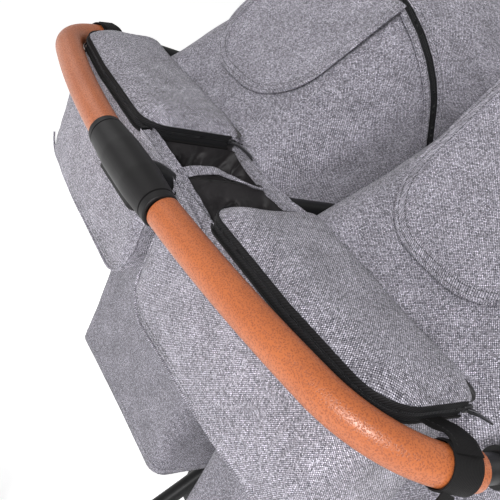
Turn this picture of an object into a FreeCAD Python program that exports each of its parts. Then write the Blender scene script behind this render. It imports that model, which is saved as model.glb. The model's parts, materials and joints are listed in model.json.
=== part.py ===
import FreeCAD, Part
import math
import os

from FreeCAD import Placement, Rotation, Vector

# A side-by-side twin stroller. +Z is up, the children face -Y and the handle is on the +Y side.
# Millimetres. Points are laid out from the middle of the handle's grip: to the side (+X is the
# children's left), ahead of it (towards -Y) and below it.

os.makedirs("parts", exist_ok=True)
doc = FreeCAD.newDocument("TwinStroller")

DIMENSIONS = {
    # handle
    "grip_height": 1030.0,
    "grip_back": 457.2,
    "handle_drop": 5.0,
    "bow_radius": 1133.0,
    "bow_angle": 13.4,
    "corner_radius": 103.0,
    "handle_tube_radius": 11.0,
    "handle_tube_bore": 9.5,
    "grip_radius": 15.0,
    "grip_bore": 11.05,
    "grip_end": 393.0,
    "hub_half_length": 66.0,
    "hub_radius": 19.0,
    "hub_end_radius": 16.2,
    "strap_radius": 17.0,
    "strap_bore": 15.05,
    "strap_width": 25.0,
    # frame
    "strut_radius": 13.5,
    "strut_bore": 11.05,
    "leg_radius": 12.5,
    "rear_leg_side": 110.0,
    "hinge_ahead": 470.0,
    "hinge_below": 500.0,
    "hinge_bar_radius": 11.0,
    "hinge_bore": 11.05,
    "knuckle_radius": 17.5,
    "rail_radius": 9.0,
    # wheels
    "axle_ahead": 92.0,
    "rear_wheel_radius": 98.0,
    "rear_wheel_side": 366.0,
    "rear_wheel_width": 40.0,
    "axle_radius": 6.0,
    "axle_bore": 6.05,
    "axle_tube_radius": 14.0,
    "caster_ahead": 852.0,
    "caster_trail": 40.0,
    "front_wheel_radius": 75.0,
    "front_wheel_width": 34.0,
    "stem_radius": 8.0,
    "stem_bore": 8.05,
    # seats and canopies
    "seat_inner": 34.0,
    "seat_outer": 322.0,
    "bed_height": 562.0,
    "pad_thickness": 28.0,
    "head_ahead": 212.0,
    "crease_ahead": 640.0,
    "seat_front_ahead": 862.0,
    "calf_length": 165.0,
    "cloth": 2.5,
    "canopy_inner": 32.0,
    "canopy_outer": 324.0,
    "pivot_ahead": 465.0,
    "pivot_below": 100.0,
    "hoop_reach": 337.0,
    "hoop_lean": 30.0,
    "canopy_base_ahead": 157.0,
    "canopy_base_below": 22.0,
    "front_bow_angle": 55.0,
    "zip_height": 2.5,
    # organiser
    "bag_outer": 298.0,
    "bag_inner": 13.0,
    "bag_front": 152.0,
    "bag_depth": 138.0,
    "lid_front": 158.0,
    "lid_edge": 11.5,
    "lid_thickness": 13.0,
    "zip_wall": 2.5,
    # basket
    "basket_side": 285.0,
    "basket_back": 484.0,
    "basket_front": 760.0,
    "basket_bottom": 190.0,
    "basket_top": 400.0,
}


def make_sheet():
    """The spreadsheet that holds the driving dimensions."""
    sheet = doc.addObject("Spreadsheet::Sheet", "Dims")
    for row, (word, value) in enumerate(DIMENSIONS.items(), start=1):
        sheet.set(f"A{row}", word)
        sheet.set(f"B{row}", str(value))
        sheet.setAlias(f"B{row}", word)
    doc.recompute()
    return sheet


dims = make_sheet()
SIDES = (("left", 1), ("right", -1))
NODES = []


def at(side, ahead, below):
    """A point given from the middle of the grip."""
    return Vector(side, dims.grip_back - ahead, dims.grip_height - below)


def on_ground(side, ahead, height):
    """A point given by its height above the ground."""
    return Vector(side, dims.grip_back - ahead, height)


def node(feature, label):
    """Marks a document object as a finished sub-part of the stroller."""
    feature.Label = label
    NODES.append(feature)
    return feature


def bind(feature, **sizes):
    for size, formula in sizes.items():
        feature.setExpression(size, formula)


# ---------------------------------------------------------------- outlines and paths


def outline(corners):
    """Edges of a closed outline through (x, y, radius) corners, each rounded to its radius."""
    spots = [Vector(x, y) for x, y, _ in corners]
    edges, ends = [], []
    for index, here in enumerate(spots):
        radius = corners[index][2]
        back = (spots[index - 1] - here).normalize()
        on = (spots[(index + 1) % len(spots)] - here).normalize()
        if not radius:
            ends.append((here, here))
            continue
        half = back.getAngle(on) / 2
        start = here + back * (radius / math.tan(half))
        stop = here + on * (radius / math.tan(half))
        centre = here + (back + on).normalize() * (radius / math.sin(half))
        angles = [math.atan2(p.y - centre.y, p.x - centre.x) for p in (start, stop)]
        if back.cross(on).z > 0:
            angles.reverse()
        if angles[1] < angles[0]:
            angles[1] += 2 * math.pi
        edges.append(Part.ArcOfCircle(Part.Circle(centre, Vector(0, 0, 1), radius), *angles))
        ends.append((start, stop))
    for index in range(len(ends)):
        leave, arrive = ends[index][1], ends[(index + 1) % len(ends)][0]
        if leave.distanceToPoint(arrive) > 0.001:
            edges.append(Part.LineSegment(leave, arrive))
    return edges


def wire_of(edges, placement=None):
    wire = Part.Wire(Part.__sortEdges__([edge.toShape() for edge in edges]))
    if placement:
        wire.Placement = placement
    return wire


def bent_path(points, *radii):
    """An open wire through 3-D points; a radius per corner, or one for all of them."""
    edges, leave = [], points[0]
    if len(radii) == 1:
        radii *= len(points) - 2
    for before, here, after, radius in zip(points, points[1:], points[2:], radii):
        back, on = (before - here).normalize(), (after - here).normalize()
        half = back.getAngle(on) / 2
        start = here + back * (radius / math.tan(half))
        stop = here + on * (radius / math.tan(half))
        towards = (back + on).normalize()
        middle = here + towards * (radius / math.sin(half) - radius)
        edges.append(Part.LineSegment(leave, start).toShape())
        edges.append(Part.Arc(start, middle, stop).toShape())
        leave = stop
    edges.append(Part.LineSegment(leave, points[-1]).toShape())
    return Part.Wire(edges)


# ---------------------------------------------------------------- solids


def sweep(name, path, radius):
    """A round bar along a wire, its radius bound to the sheet."""
    spine = doc.addObject("Part::Feature", f"{name}_path")
    spine.Shape = path
    first = path.OrderedEdges[0]
    forwards = first.Orientation == "Forward"
    begin = first.FirstParameter if forwards else first.LastParameter
    tangent = first.tangentAt(begin) * (1 if forwards else -1)
    ring = doc.addObject("Part::Circle", f"{name}_ring")
    ring.Placement = Placement(first.valueAt(begin), Rotation(Vector(0, 0, 1), tangent))
    bind(ring, Radius=radius)
    bar = doc.addObject("Part::Sweep", f"{name}_sweep")
    bar.Sections = [ring]
    bar.Spine = (spine, [f"Edge{i + 1}" for i in range(len(path.Edges))])
    bar.Solid = True
    return bar


def pipe(name, path, radius, bore):
    return cut(name, sweep(f"{name}_outside", path, radius), sweep(f"{name}_inside", path, bore))


def rod(name, start, end, radius):
    """A straight round bar from one point to another."""
    bar = doc.addObject("Part::Cylinder", name)
    bar.Height = start.distanceToPoint(end)
    bar.Placement = Placement(start, Rotation(Vector(0, 0, 1), end - start))
    bind(bar, Radius=radius)
    return bar


def ring(name, start, end, radius, bore):
    return cut(name, rod(f"{name}_outside", start, end, radius), rod(f"{name}_bore", start, end, bore))


def block(name, one, other, **sizes):
    """A box between two opposite corners. Any of its sizes can be bound to the sheet."""
    box = doc.addObject("Part::Box", name)
    low = Vector(*[min(pair) for pair in zip(one, other)])
    high = Vector(*[max(pair) for pair in zip(one, other)])
    box.Length, box.Width, box.Height = high - low
    box.Placement.Base = low
    bind(box, **sizes)
    return box


def cut(name, base, tool):
    result = doc.addObject("Part::Cut", name)
    result.Base, result.Tool = base, tool
    return result


def fuse(name, shapes):
    result = doc.addObject("Part::MultiFuse", name)
    result.Shapes = shapes
    return result


def group(name, shapes):
    """Separate solids of one kind that share a sub-part."""
    result = doc.addObject("Part::Compound", name)
    result.Links = shapes
    return result


def solid_feature(name, shape):
    result = doc.addObject("Part::Feature", name)
    result.Shape = shape
    return result


def origin_plane(body, role):
    return next(item for item in body.Origin.OriginFeatures if item.Role == role)


def sketch_on(body, role, name, edges):
    sketch = body.newObject("Sketcher::SketchObject", name)
    sketch.AttachmentSupport = [(origin_plane(body, role), "")]
    sketch.MapMode = "FlatFace"
    for edge in edges:
        sketch.addGeometry(edge, False)
    return sketch


def new_body(name, placement=None):
    body = doc.addObject("PartDesign::Body", name)
    if placement:
        body.Placement = placement
    return body


def pad(body, name, edges, length, role="XY_Plane"):
    feature = body.newObject("PartDesign::Pad", name)
    feature.Profile = sketch_on(body, role, f"{name}_outline", edges)
    bind(feature, Length=length)
    return feature


def pocket(body, name, edges, length, role="XY_Plane"):
    """A pocket cut towards the sketch's own side of its plane."""
    feature = body.newObject("PartDesign::Pocket", name)
    feature.Profile = sketch_on(body, role, f"{name}_outline", edges)
    feature.Reversed = True
    bind(feature, Length=length)
    return feature


def turned(body, name, edges, angle=360.0):
    """A revolution about the body's X axis of an outline of (along, radius) points."""
    feature = body.newObject("PartDesign::Revolution", name)
    sketch = sketch_on(body, "XY_Plane", f"{name}_outline", edges)
    feature.Profile = sketch
    feature.ReferenceAxis = (sketch, ["H_Axis"])
    feature.Angle = angle
    return feature


def rounded_top(body, base, height, radius):
    """Rounds the edges of a pad that lie at the given height."""
    doc.recompute()
    names = []
    for index, edge in enumerate(base.Shape.Edges, start=1):
        if all(abs(vertex.Z - height) < 0.01 for vertex in edge.Vertexes):
            names.append(f"Edge{index}")
    fillet = body.newObject("PartDesign::Fillet", f"{base.Name}_round")
    fillet.Base = (base, names)
    fillet.Radius = radius
    return fillet


# ---------------------------------------------------------------- handle

HANDLE_PLANE = Placement(at(0, 0, 0), Rotation(Vector(1, 0, 0), dims.handle_drop))
BOW = math.radians(dims.bow_angle)
CORNER_SIDE = (dims.bow_radius - dims.corner_radius) * math.sin(BOW)
CORNER_AHEAD = dims.bow_radius * (1 - math.cos(BOW)) + dims.corner_radius * math.cos(BOW)
FRAME_SIDE = CORNER_SIDE + dims.corner_radius
ARM_START = CORNER_AHEAD
ARM_END = 190.0
STRUT_START = 165.0


def along_bar(length):
    """A point of the handle's centre line in its own plane, and the way it heads there."""
    bow_length = dims.bow_radius * BOW
    if length <= bow_length:
        angle = length / dims.bow_radius
        centre, radius = Vector(0, -dims.bow_radius), dims.bow_radius
    else:
        angle = BOW + (length - bow_length) / dims.corner_radius
        centre, radius = Vector(CORNER_SIDE, -CORNER_AHEAD), dims.corner_radius
    return centre + Vector(radius * math.sin(angle), radius * math.cos(angle)), angle


def bar_path(begin, end, side):
    """The centre line from one length along the bar to another, as tangent arcs."""
    bow_length = dims.bow_radius * BOW
    stops = [begin, bow_length, end] if begin < bow_length < end else [begin, end]
    edges = []
    for first, last in zip(stops, stops[1:]):
        points = [along_bar(first + (last - first) * part)[0] for part in (0, 0.5, 1)]
        points = [Vector(point.x * side, point.y) for point in points]
        edges.append(Part.Arc(*points).toShape())
    wire = Part.Wire(edges)
    wire.Placement = HANDLE_PLANE
    return wire


def make_handle_tube():
    corner_end = dims.bow_radius * BOW + dims.corner_radius * (math.pi / 2 - BOW)
    halves = []
    for side in (-1, 1):
        arm = Part.LineSegment(
            HANDLE_PLANE * Vector(FRAME_SIDE * side, -ARM_END),
            HANDLE_PLANE * Vector(FRAME_SIDE * side, -ARM_START),
        ).toShape()
        curves = bar_path(0.0, corner_end, side).Edges
        halves.append([arm] + curves[::-1])
    path = Part.Wire(Part.__sortEdges__(halves[0] + halves[1][::-1]))
    node(pipe("handle_tube", path, "Dims.handle_tube_radius", "Dims.handle_tube_bore"), "handle_tube")


def make_grips():
    for word, side in SIDES:
        path = bar_path(dims.hub_half_length + 1.0, dims.grip_end, side)
        sleeve = pipe(f"grip_{word}", path, "Dims.grip_radius", "Dims.grip_bore")
        node(sleeve, f"grip_{word}")


def make_straps():
    """A webbing band round each end of the leather, with its tongue to the organiser."""
    bands = []
    for word, side in SIDES:
        path = bar_path(dims.grip_end - dims.strap_width, dims.grip_end - 0.4, side)
        band = pipe(f"strap_band_{word}", path, "Dims.strap_radius", "Dims.strap_bore")
        tongue = block(
            f"strap_tongue_{word}",
            at(side * (dims.bag_outer + 0.5), 104, 6),
            at(side * 322, 128, 10),
        )
        bands.append(fuse(f"strap_{word}", [band, tongue]))
    node(group("handle_straps", bands), "handle_straps")


HUB_BORE = 13.2


def hub_profile():
    """Half section of the hub's barrel, with a groove near each end."""
    end, radius = dims.hub_half_length, dims.hub_end_radius
    groove, depth = end - 9.0, 1.2
    return outline([
        (-end, HUB_BORE, 0), (-end, radius, 1.5), (-groove - 1.5, radius + 0.4, 0),
        (-groove - 1.2, radius - depth, 0), (-groove, radius - depth, 0),
        (-groove + 0.3, radius + 0.6, 0), (-22, dims.hub_radius, 60), (22, dims.hub_radius, 60),
        (groove - 0.3, radius + 0.6, 0), (groove, radius - depth, 0),
        (groove + 1.2, radius - depth, 0), (groove + 1.5, radius + 0.4, 0),
        (end, radius, 1.5), (end, HUB_BORE, 0),
    ])


def make_hub():
    """Two half shells round the middle of the bar, and the fold trigger in the lower one."""
    for word, roll in (("upper", 0.0), ("lower", 180.0)):
        spin = Rotation(Vector(1, 0, 0), dims.handle_drop + roll)
        shell = new_body(f"hub_{word}_half", Placement(at(0, 0, 0), spin))
        turned(shell, f"hub_{word}_turn", hub_profile(), angle=180.0)
        ahead = HANDLE_PLANE.multVec(Vector(0, -40, 0))
        tool = rod(f"hub_{word}_socket", at(0, 0, 0), ahead, "Dims.strut_bore")
        if word == "lower":
            window = block("trigger_window", Vector(-37.6, -10.6, -30), Vector(37.6, 10.6, -10))
            window.Placement = HANDLE_PLANE * window.Placement
            tool = fuse("hub_lower_tools", [tool, window])
        node(cut(f"hub_{word}", shell, tool), f"hub_{word}_shell")
    trigger = new_body("trigger", HANDLE_PLANE * Placement(Vector(0, -10, -20.5), Rotation()))
    base = pad(
        trigger, "trigger_slab", outline([(-37, 0, 6), (37, 0, 6), (37, 20, 6), (-37, 20, 6)]), "6.3 mm"
    )
    face = trigger.newObject("PartDesign::Chamfer", "trigger_edge")
    doc.recompute()
    low = [f"Edge{i}" for i, e in enumerate(base.Shape.Edges, 1) if e.BoundBox.ZMax < 0.01]
    face.Base = (base, low)
    face.Size = 1.2
    node(trigger, "fold_trigger")


# ---------------------------------------------------------------- frame


def strut_points(side, start):
    """From the handle's plane forward, then down to the fold hinge."""
    corner = HANDLE_PLANE.multVec(Vector(side, -331, 0))
    foot = at(side, dims.hinge_ahead, dims.hinge_below)
    return [HANDLE_PLANE.multVec(Vector(side, -start, 0)), corner, foot]


def make_struts():
    for word, side in SIDES:
        points = strut_points(side * FRAME_SIDE, STRUT_START)
        down = (points[-1] - points[1]).normalize()
        points[-1] = points[-1] - down * (dims.knuckle_radius + 0.1)
        tube = pipe(f"strut_{word}", bent_path(points, 90), "Dims.strut_radius", "Dims.strut_bore")
        node(tube, f"strut_{word}")
    points = strut_points(0, 13.4)
    down = (points[-1] - points[1]).normalize()
    points[-1] = points[-1] - down * (dims.hinge_bar_radius + 0.2)
    points[1:1] = [HANDLE_PLANE.multVec(Vector(0, -24, 0)), at(0, 62, 21)]
    path = bent_path(points, 24, 60, 90)
    node(sweep("centre_strut", path, "Dims.handle_tube_radius"), "centre_strut")
    collars = []
    for word, side in SIDES:
        begin = HANDLE_PLANE.multVec(Vector(side * FRAME_SIDE, -150, 0))
        end = HANDLE_PLANE.multVec(Vector(side * FRAME_SIDE, -STRUT_START + 0.2, 0))
        collars.append(ring(f"collar_{word}", begin, end, "Dims.strut_radius + 2", "Dims.strut_bore"))
    return collars


def make_sockets():
    """Collars where the handle enters the struts, and the knuckles on the hinge bar."""
    sockets = make_struts()
    hinge = dims.hinge_ahead, dims.hinge_below
    for word, side in SIDES:
        start = at(side * (FRAME_SIDE - dims.strut_radius), *hinge)
        end = at(side * (FRAME_SIDE + dims.strut_radius), *hinge)
        sockets.append(ring(f"knuckle_{word}", start, end, "Dims.knuckle_radius", "Dims.hinge_bore"))
    node(group("frame_sockets", sockets), "frame_sockets")


def make_frame_bars():
    """Cross bars, and the rails that carry the seats."""
    hinge = dims.hinge_ahead, dims.hinge_below
    reach = FRAME_SIDE + dims.strut_radius + 2
    between = FRAME_SIDE - dims.leg_radius - 0.5
    low_ahead, low_height = 800, 243
    bars = [
        rod("hinge_bar", at(-reach, *hinge), at(reach, *hinge), "Dims.hinge_bar_radius"),
        rod("seat_bar", on_ground(-between, 845, 541), on_ground(between, 845, 541),
            "Dims.rail_radius"),
        rod("foot_bar", on_ground(-between, low_ahead, low_height),
            on_ground(between, low_ahead, low_height), "Dims.rail_radius"),
    ]
    for word, side in (("left", 1), ("middle", 0), ("right", -1)):
        bars.append(rod(f"rail_{word}", *rail_ends(side), "Dims.rail_radius"))
    node(group("frame_bars", bars), "frame_bars")


def rail_ends(side):
    gap = dims.knuckle_radius if side else dims.hinge_bar_radius
    start = at(side * FRAME_SIDE, dims.hinge_ahead + gap + 0.3, dims.hinge_below)
    return start, on_ground(side * FRAME_SIDE, 858 if side else 835, 541)


def caster_top():
    return 2 * dims.front_wheel_radius + 18.0


def make_front_legs():
    legs = []
    housing_height = 46.0
    for word, side in SIDES:
        hinge = at(side * FRAME_SIDE, dims.hinge_ahead, dims.hinge_below)
        foot = on_ground(side * FRAME_SIDE, dims.caster_ahead, caster_top() + 25)
        down = (foot - hinge).normalize()
        start = hinge + down * dims.knuckle_radius
        leg = rod(f"front_leg_bar_{word}", start, foot, "Dims.leg_radius")
        low = on_ground(side * FRAME_SIDE, dims.caster_ahead, caster_top() - 20)
        coping = fuse(f"front_leg_coping_{word}", [
            rod(f"front_leg_seat_{word}", low, low + Vector(0, 0, 100), "Dims.stem_radius + 13.05"),
            rod(f"front_leg_notch_{word}", *rail_ends(side), "Dims.rail_radius + 0.05"),
        ])
        legs.append(cut(f"front_leg_{word}", leg, coping))
    node(group("front_legs", legs), "front_legs")
    housings = []
    for word, side in SIDES:
        low = on_ground(side * FRAME_SIDE, dims.caster_ahead, caster_top())
        high = low + Vector(0, 0, housing_height)
        shell = rod(f"housing_outside_{word}", low, high, "Dims.stem_radius + 13")
        bore = rod(f"housing_bore_{word}", low, high - Vector(0, 0, 6), "Dims.stem_bore")
        housings.append(cut(f"housing_{word}", shell, bore))
    node(group("caster_housings", housings), "caster_housings")


BRACE_SIDE = 300.0


def make_rear_frame():
    """The rear legs, braces and axle tube, which fold forward about the hinge bar."""
    hinge = dims.hinge_ahead, dims.hinge_below
    axle_height = dims.rear_wheel_radius
    legs = []
    for word, side in SIDES:
        centre = side * dims.rear_leg_side
        top = at(centre, *hinge)
        foot = on_ground(centre, dims.axle_ahead, axle_height)
        down = (foot - top).normalize()
        leg = rod(f"rear_leg_bar_{word}", top + down * 11.8, foot, "Dims.leg_radius")
        eye = rod(
            f"rear_leg_eye_{word}", at(centre - dims.leg_radius, *hinge),
            at(centre + dims.leg_radius, *hinge), "Dims.knuckle_radius",
        )
        brace = rod(
            f"rear_brace_{word}", top + (foot - top) * 0.45,
            on_ground(side * BRACE_SIDE, dims.axle_ahead, axle_height), "Dims.rail_radius",
        )
        holes = fuse(f"rear_leg_holes_{word}", [
            rod(f"rear_leg_bore_{word}", at(centre - 20, *hinge), at(centre + 20, *hinge),
                "Dims.hinge_bore"),
            rod(f"rear_leg_seat_{word}", on_ground(side * 80, dims.axle_ahead, axle_height),
                on_ground(side * (BRACE_SIDE + 30), dims.axle_ahead, axle_height),
                "Dims.axle_tube_radius"),
        ])
        solid = fuse(f"rear_leg_solid_{word}", [leg, eye, brace])
        legs.append(cut(f"rear_leg_{word}", solid, holes))
    node(group("rear_legs", legs), "rear_legs")
    reach = BRACE_SIDE + 28.5
    ends = [on_ground(side * reach, dims.axle_ahead, axle_height) for side in (-1, 1)]
    tube = ring("axle_tube_pipe", *ends, "Dims.axle_tube_radius", "Dims.axle_bore")
    node(fuse("axle_tube", [tube] + make_brake_lugs()), "axle_tube")
    tip = dims.rear_wheel_side + dims.rear_wheel_width / 2 + 4
    ends = [on_ground(side * tip, dims.axle_ahead, axle_height) for side in (-1, 1)]
    node(rod("rear_axle", *ends, "Dims.axle_radius"), "rear_axle")


BRAKE_AHEAD, BRAKE_HEIGHT = 58.0, 118.0


def make_brake():
    """A foot pedal on a cross bar that turns in two lugs of the axle tube."""
    ends = [on_ground(side * 318, BRAKE_AHEAD, BRAKE_HEIGHT) for side in (-1, 1)]
    bar = rod("brake_bar", *ends, "5 mm")
    plate = block(
        "brake_plate", on_ground(-42, BRAKE_AHEAD, BRAKE_HEIGHT - 4),
        on_ground(42, BRAKE_AHEAD - 46, BRAKE_HEIGHT + 4),
    )
    node(fuse("brake", [bar, plate]), "brake_pedal")


def make_brake_lugs():
    """Lugs welded to the axle tube, bored for the brake bar."""
    lugs = []
    for word, side in SIDES:
        centre = side * 250
        body = block(
            f"lug_body_{word}", on_ground(centre - 8, BRAKE_AHEAD - 9, BRAKE_HEIGHT - 9),
            on_ground(centre + 8, dims.axle_ahead, BRAKE_HEIGHT + 9),
        )
        start = on_ground(centre - 20, BRAKE_AHEAD, BRAKE_HEIGHT)
        bore = rod(f"lug_bore_{word}", start, start + Vector(40, 0, 0), "5.05 mm")
        start = on_ground(centre - 20, dims.axle_ahead, dims.rear_wheel_radius)
        seat = rod(f"lug_seat_{word}", start, start + Vector(40, 0, 0), "Dims.axle_bore + 3")
        lugs.append(cut(f"lug_{word}", body, fuse(f"lug_cuts_{word}", [bore, seat])))
    return lugs


# ---------------------------------------------------------------- wheels


def make_wheel(name, centre, radius, width, hub_half):
    """A rim with a hub and round windows, and a tyre round it. The axle lies along X."""
    rim_radius, half = radius * 0.74, width / 2
    lip = half - 4
    rim = new_body(f"{name}_rim", Placement(centre, Rotation()))
    turned(rim, f"{name}_rim_turn", outline([
        (-hub_half, dims.axle_bore, 0), (-hub_half, 17, 2), (-4, 20, 3), (-4, rim_radius - 9, 3),
        (-lip, rim_radius - 7, 1), (-lip, rim_radius, 1), (lip, rim_radius, 1),
        (lip, rim_radius - 7, 1), (4, rim_radius - 9, 3), (4, 20, 3), (hub_half, 17, 2),
        (hub_half, dims.axle_bore, 0),
    ]))
    middle = (rim_radius - 9 + 20) / 2
    window = rim.newObject("PartDesign::Pocket", f"{name}_window")
    hole = Part.Circle(Vector(0, middle), Vector(0, 0, 1), (rim_radius - 29) / 2 - 3)
    window.Profile = sketch_on(rim, "YZ_Plane", f"{name}_window_outline", [hole])
    window.SideType = "Symmetric"
    window.Length = 4 * width
    doc.recompute()
    windows = rim.newObject("PartDesign::PolarPattern", f"{name}_windows")
    windows.Originals = [window]
    windows.Axis = (window.Profile[0], ["N_Axis"])
    windows.Angle, windows.Occurrences = 360, 6
    rim.Tip = windows
    node(rim, f"{name}_rim")
    tyre = new_body(f"{name}_tyre", Placement(centre, Rotation()))
    turned(tyre, f"{name}_tyre_turn", outline([
        (-lip, rim_radius, 0), (-half, rim_radius + 5, 4), (-half, radius - 9, 7),
        (-half * 0.45, radius, 6), (half * 0.45, radius, 6), (half, radius - 9, 7),
        (half, rim_radius + 5, 4), (lip, rim_radius, 0),
    ]))
    node(tyre, f"{name}_tyre")


def make_rear_wheels():
    for word, side in SIDES:
        centre = on_ground(side * dims.rear_wheel_side, dims.axle_ahead, dims.rear_wheel_radius)
        make_wheel(f"rear_{word}", centre, dims.rear_wheel_radius, dims.rear_wheel_width, 18)


def make_casters():
    """A fork that swivels on its stem, with the wheel trailing behind it."""
    radius, half = dims.front_wheel_radius, dims.front_wheel_width / 2
    arm, gap = 5.0, 3.5
    wide = half + gap + arm
    crown = caster_top() - 2
    for word, side in SIDES:
        across, swivel = side * FRAME_SIDE, dims.caster_ahead
        hub = swivel - dims.caster_trail
        centre = on_ground(across, hub, radius)
        name = f"caster_{word}"
        stem = rod(f"{name}_stem", on_ground(across, swivel, crown - 6),
                   on_ground(across, swivel, crown + 38), "Dims.stem_radius")
        plate = block(f"{name}_crown", on_ground(across - wide, swivel + 20, crown - 12),
                      on_ground(across + wide, swivel - 26, crown))
        solids = [stem, plate]
        for word_arm, way in (("out", 1), ("in", -1)):
            face = across + way * (half + gap + arm / 2)
            blade = solid_feature(f"{name}_blade_{word_arm}", blade_shape(face, arm, crown, hub))
            solids.append(blade)
        pin = rod(f"{name}_axle", centre - Vector(wide, 0, 0), centre + Vector(wide, 0, 0),
                  "Dims.axle_radius")
        solids.append(pin)
        node(fuse(f"{name}_fork", solids), f"caster_fork_{word}")
        make_wheel(f"front_{word}", centre, radius, dims.front_wheel_width, half + 2)


def blade_shape(face, thickness, crown, hub):
    """One arm of a caster fork, an outline in the side plane from the crown to the axle."""
    swivel, radius = dims.caster_ahead, dims.front_wheel_radius
    corners = [(swivel + 18, crown - 1, 0), (swivel - 26, crown - 1, 0),
               (hub - 15, radius - 14, 13), (hub + 13, radius - 14, 13)]
    flat = [(dims.grip_back - ahead, height, radius) for ahead, height, radius in corners]
    turn = Rotation(Vector(0, 1, 0), Vector(0, 0, 1), Vector(1, 0, 0), "XYZ")
    place = Placement(Vector(face - thickness / 2, 0, 0), turn)
    return Part.Face(wire_of(outline(flat), place)).extrude(Vector(thickness, 0, 0))


# ---------------------------------------------------------------- seats


def make_seats():
    bed, thick = dims.bed_height, dims.pad_thickness
    seat_pads = []
    for word, side in SIDES:
        inner, outer = dims.seat_inner + 3, dims.seat_outer - 3
        frame_in, frame_out = side * (inner + 9), side * (outer - 9)
        head, crease, front = dims.head_ahead, dims.crease_ahead, dims.seat_front_ahead
        level = bed - 7
        hoop = bent_path([
            on_ground(frame_in, crease, level), on_ground(frame_in, head + 12, level),
            on_ground(frame_out, head + 12, level), on_ground(frame_out, crease, level),
        ], 34)
        node(sweep(f"backrest_frame_{word}", hoop, "6 mm"), f"backrest_frame_{word}")
        back = make_pad(f"backrest_pad_{word}", side, inner, outer, head + 5, crease - 3, bed, thick)
        node(back, f"backrest_pad_{word}")
        seat_pads.append(
            make_pad(f"seat_pad_{word}", side, inner, outer, crease + 4, front, bed, thick)
        )
        calf = make_calf_rest(word, side, inner + 2, outer - 2)
        node(calf, f"calf_rest_{word}")
    boards = [
        block(f"seat_board_{word}", on_ground(side * 40, dims.crease_ahead + 14, bed - 11.5),
              on_ground(side * 316, dims.seat_front_ahead - 2, bed - 0.3))
        for word, side in SIDES
    ]
    node(group("seat_boards", boards), "seat_boards")
    node(group("seat_pads", seat_pads), "seat_pads")


def make_pad(label, side, inner, outer, back, front, height, thick):
    """A flat cushion with rounded corners and a rounded upper edge."""
    width, length = outer - inner, front - back
    corner = on_ground(side * (inner + outer) / 2 - width / 2, front, height)
    cushion = new_body(label, Placement(corner, Rotation()))
    base = pad(cushion, f"{label}_slab", outline([
        (0, 0, 18), (width, 0, 18), (width, length, 18), (0, length, 18)
    ]), "Dims.pad_thickness")
    rounded_top(cushion, base, thick, 9.0)
    return cushion


CALF_AHEAD, CALF_HEIGHT, CALF_TILT = 888.0, 566.0, 74.0


def make_calf_rest(word, side, inner, outer):
    """A board that hangs from the seat's front edge, with a bar that it turns on."""
    width, length = outer - inner, dims.calf_length
    start = on_ground(side * (inner + outer) / 2 - width / 2, CALF_AHEAD, CALF_HEIGHT)
    down = Placement(start, Rotation(Vector(1, 0, 0), 180 + CALF_TILT))
    board = new_body(f"calf_rest_{word}", down)
    base = pad(board, f"calf_slab_{word}", outline([
        (0, -6, 6), (width, -6, 6), (width, length, 30), (0, length, 30)
    ]), "20 mm")
    rounded_top(board, base, 20, 6.0)
    return board


def side_plane(side, one, other):
    """Placement of a side-view outline, and the vector that extrudes it across the seat."""
    turn = Rotation(Vector(0, 1, 0), Vector(0, 0, 1), Vector(1, 0, 0), "XYZ")
    low, high = sorted((side * one, side * other))
    return Placement(Vector(low, 0, 0), turn), Vector(high - low, 0, 0)


def side_prism(corners, side, one, other):
    """A solid with a side-view outline of (ahead, height, radius) corners."""
    place, across = side_plane(side, one, other)
    flat = [(dims.grip_back - ahead, height, radius) for ahead, height, radius in corners]
    return Part.Face(wire_of(outline(flat), place)).extrude(across)


def make_seat_sides():
    """The fabric tub of each seat: head wall and two side walls, open above and in front."""
    head, front = dims.head_ahead, dims.seat_front_ahead
    low = dims.bed_height + 4
    rim = dims.grip_height - dims.canopy_base_below - 20
    profile = [
        (head, low, 0), (head, rim, 0), (dims.pivot_ahead + 4, 917, 30), (545, 800, 60),
        (650, 660, 120), (front - 4, 626, 20), (front - 4, low, 0),
    ]
    for word, side in SIDES:
        outer = side_prism(profile, side, dims.seat_inner - 3, dims.seat_outer + 3)
        hollow = side_prism(
            [(head + 3, low - 5, 0), (head + 3, 1100, 0), (front + 9, 1100, 0), (front + 9, low - 5, 0)],
            side, dims.seat_inner, dims.seat_outer,
        )
        node(solid_feature(f"seat_tub_{word}", outer.cut(hollow)), f"seat_tub_{word}")


def make_harness():
    """Shoulder straps on each backrest, and the crotch strap with its buckle on each seat."""
    straps, buckles = {}, []
    top = dims.bed_height + dims.pad_thickness + 0.3
    for word, side in SIDES:
        middle = side * (dims.seat_inner + dims.seat_outer) / 2
        bands = [
            block(f"shoulder_{word}_{index}", on_ground(middle + shift - 12, 330, top),
                  on_ground(middle + shift + 12, 615, top + 2.5))
            for index, shift in enumerate((-48, 48))
        ]
        straps[word] = group(f"harness_{word}", bands)
        node(straps[word], f"harness_{word}")
        strap = block(f"crotch_{word}", on_ground(middle - 12, 655, top),
                      on_ground(middle + 12, 730, top + 3))
        shell = block(f"buckle_body_{word}", on_ground(middle - 24, 662, top + 3),
                      on_ground(middle + 24, 708, top + 15))
        well = rod(f"buckle_well_{word}", on_ground(middle, 685, top + 10),
                   on_ground(middle, 685, top + 16), "11 mm")
        buckles.append(fuse(f"buckle_{word}", [strap, cut(f"buckle_case_{word}", shell, well)]))
        button = rod(f"button_{word}", on_ground(middle, 685, top + 12.2),
                     on_ground(middle, 685, top + 16), "10.6 mm")
        node(button, f"buckle_button_{word}")
    node(group("buckles", buckles), "buckles")


# ---------------------------------------------------------------- canopies


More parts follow.
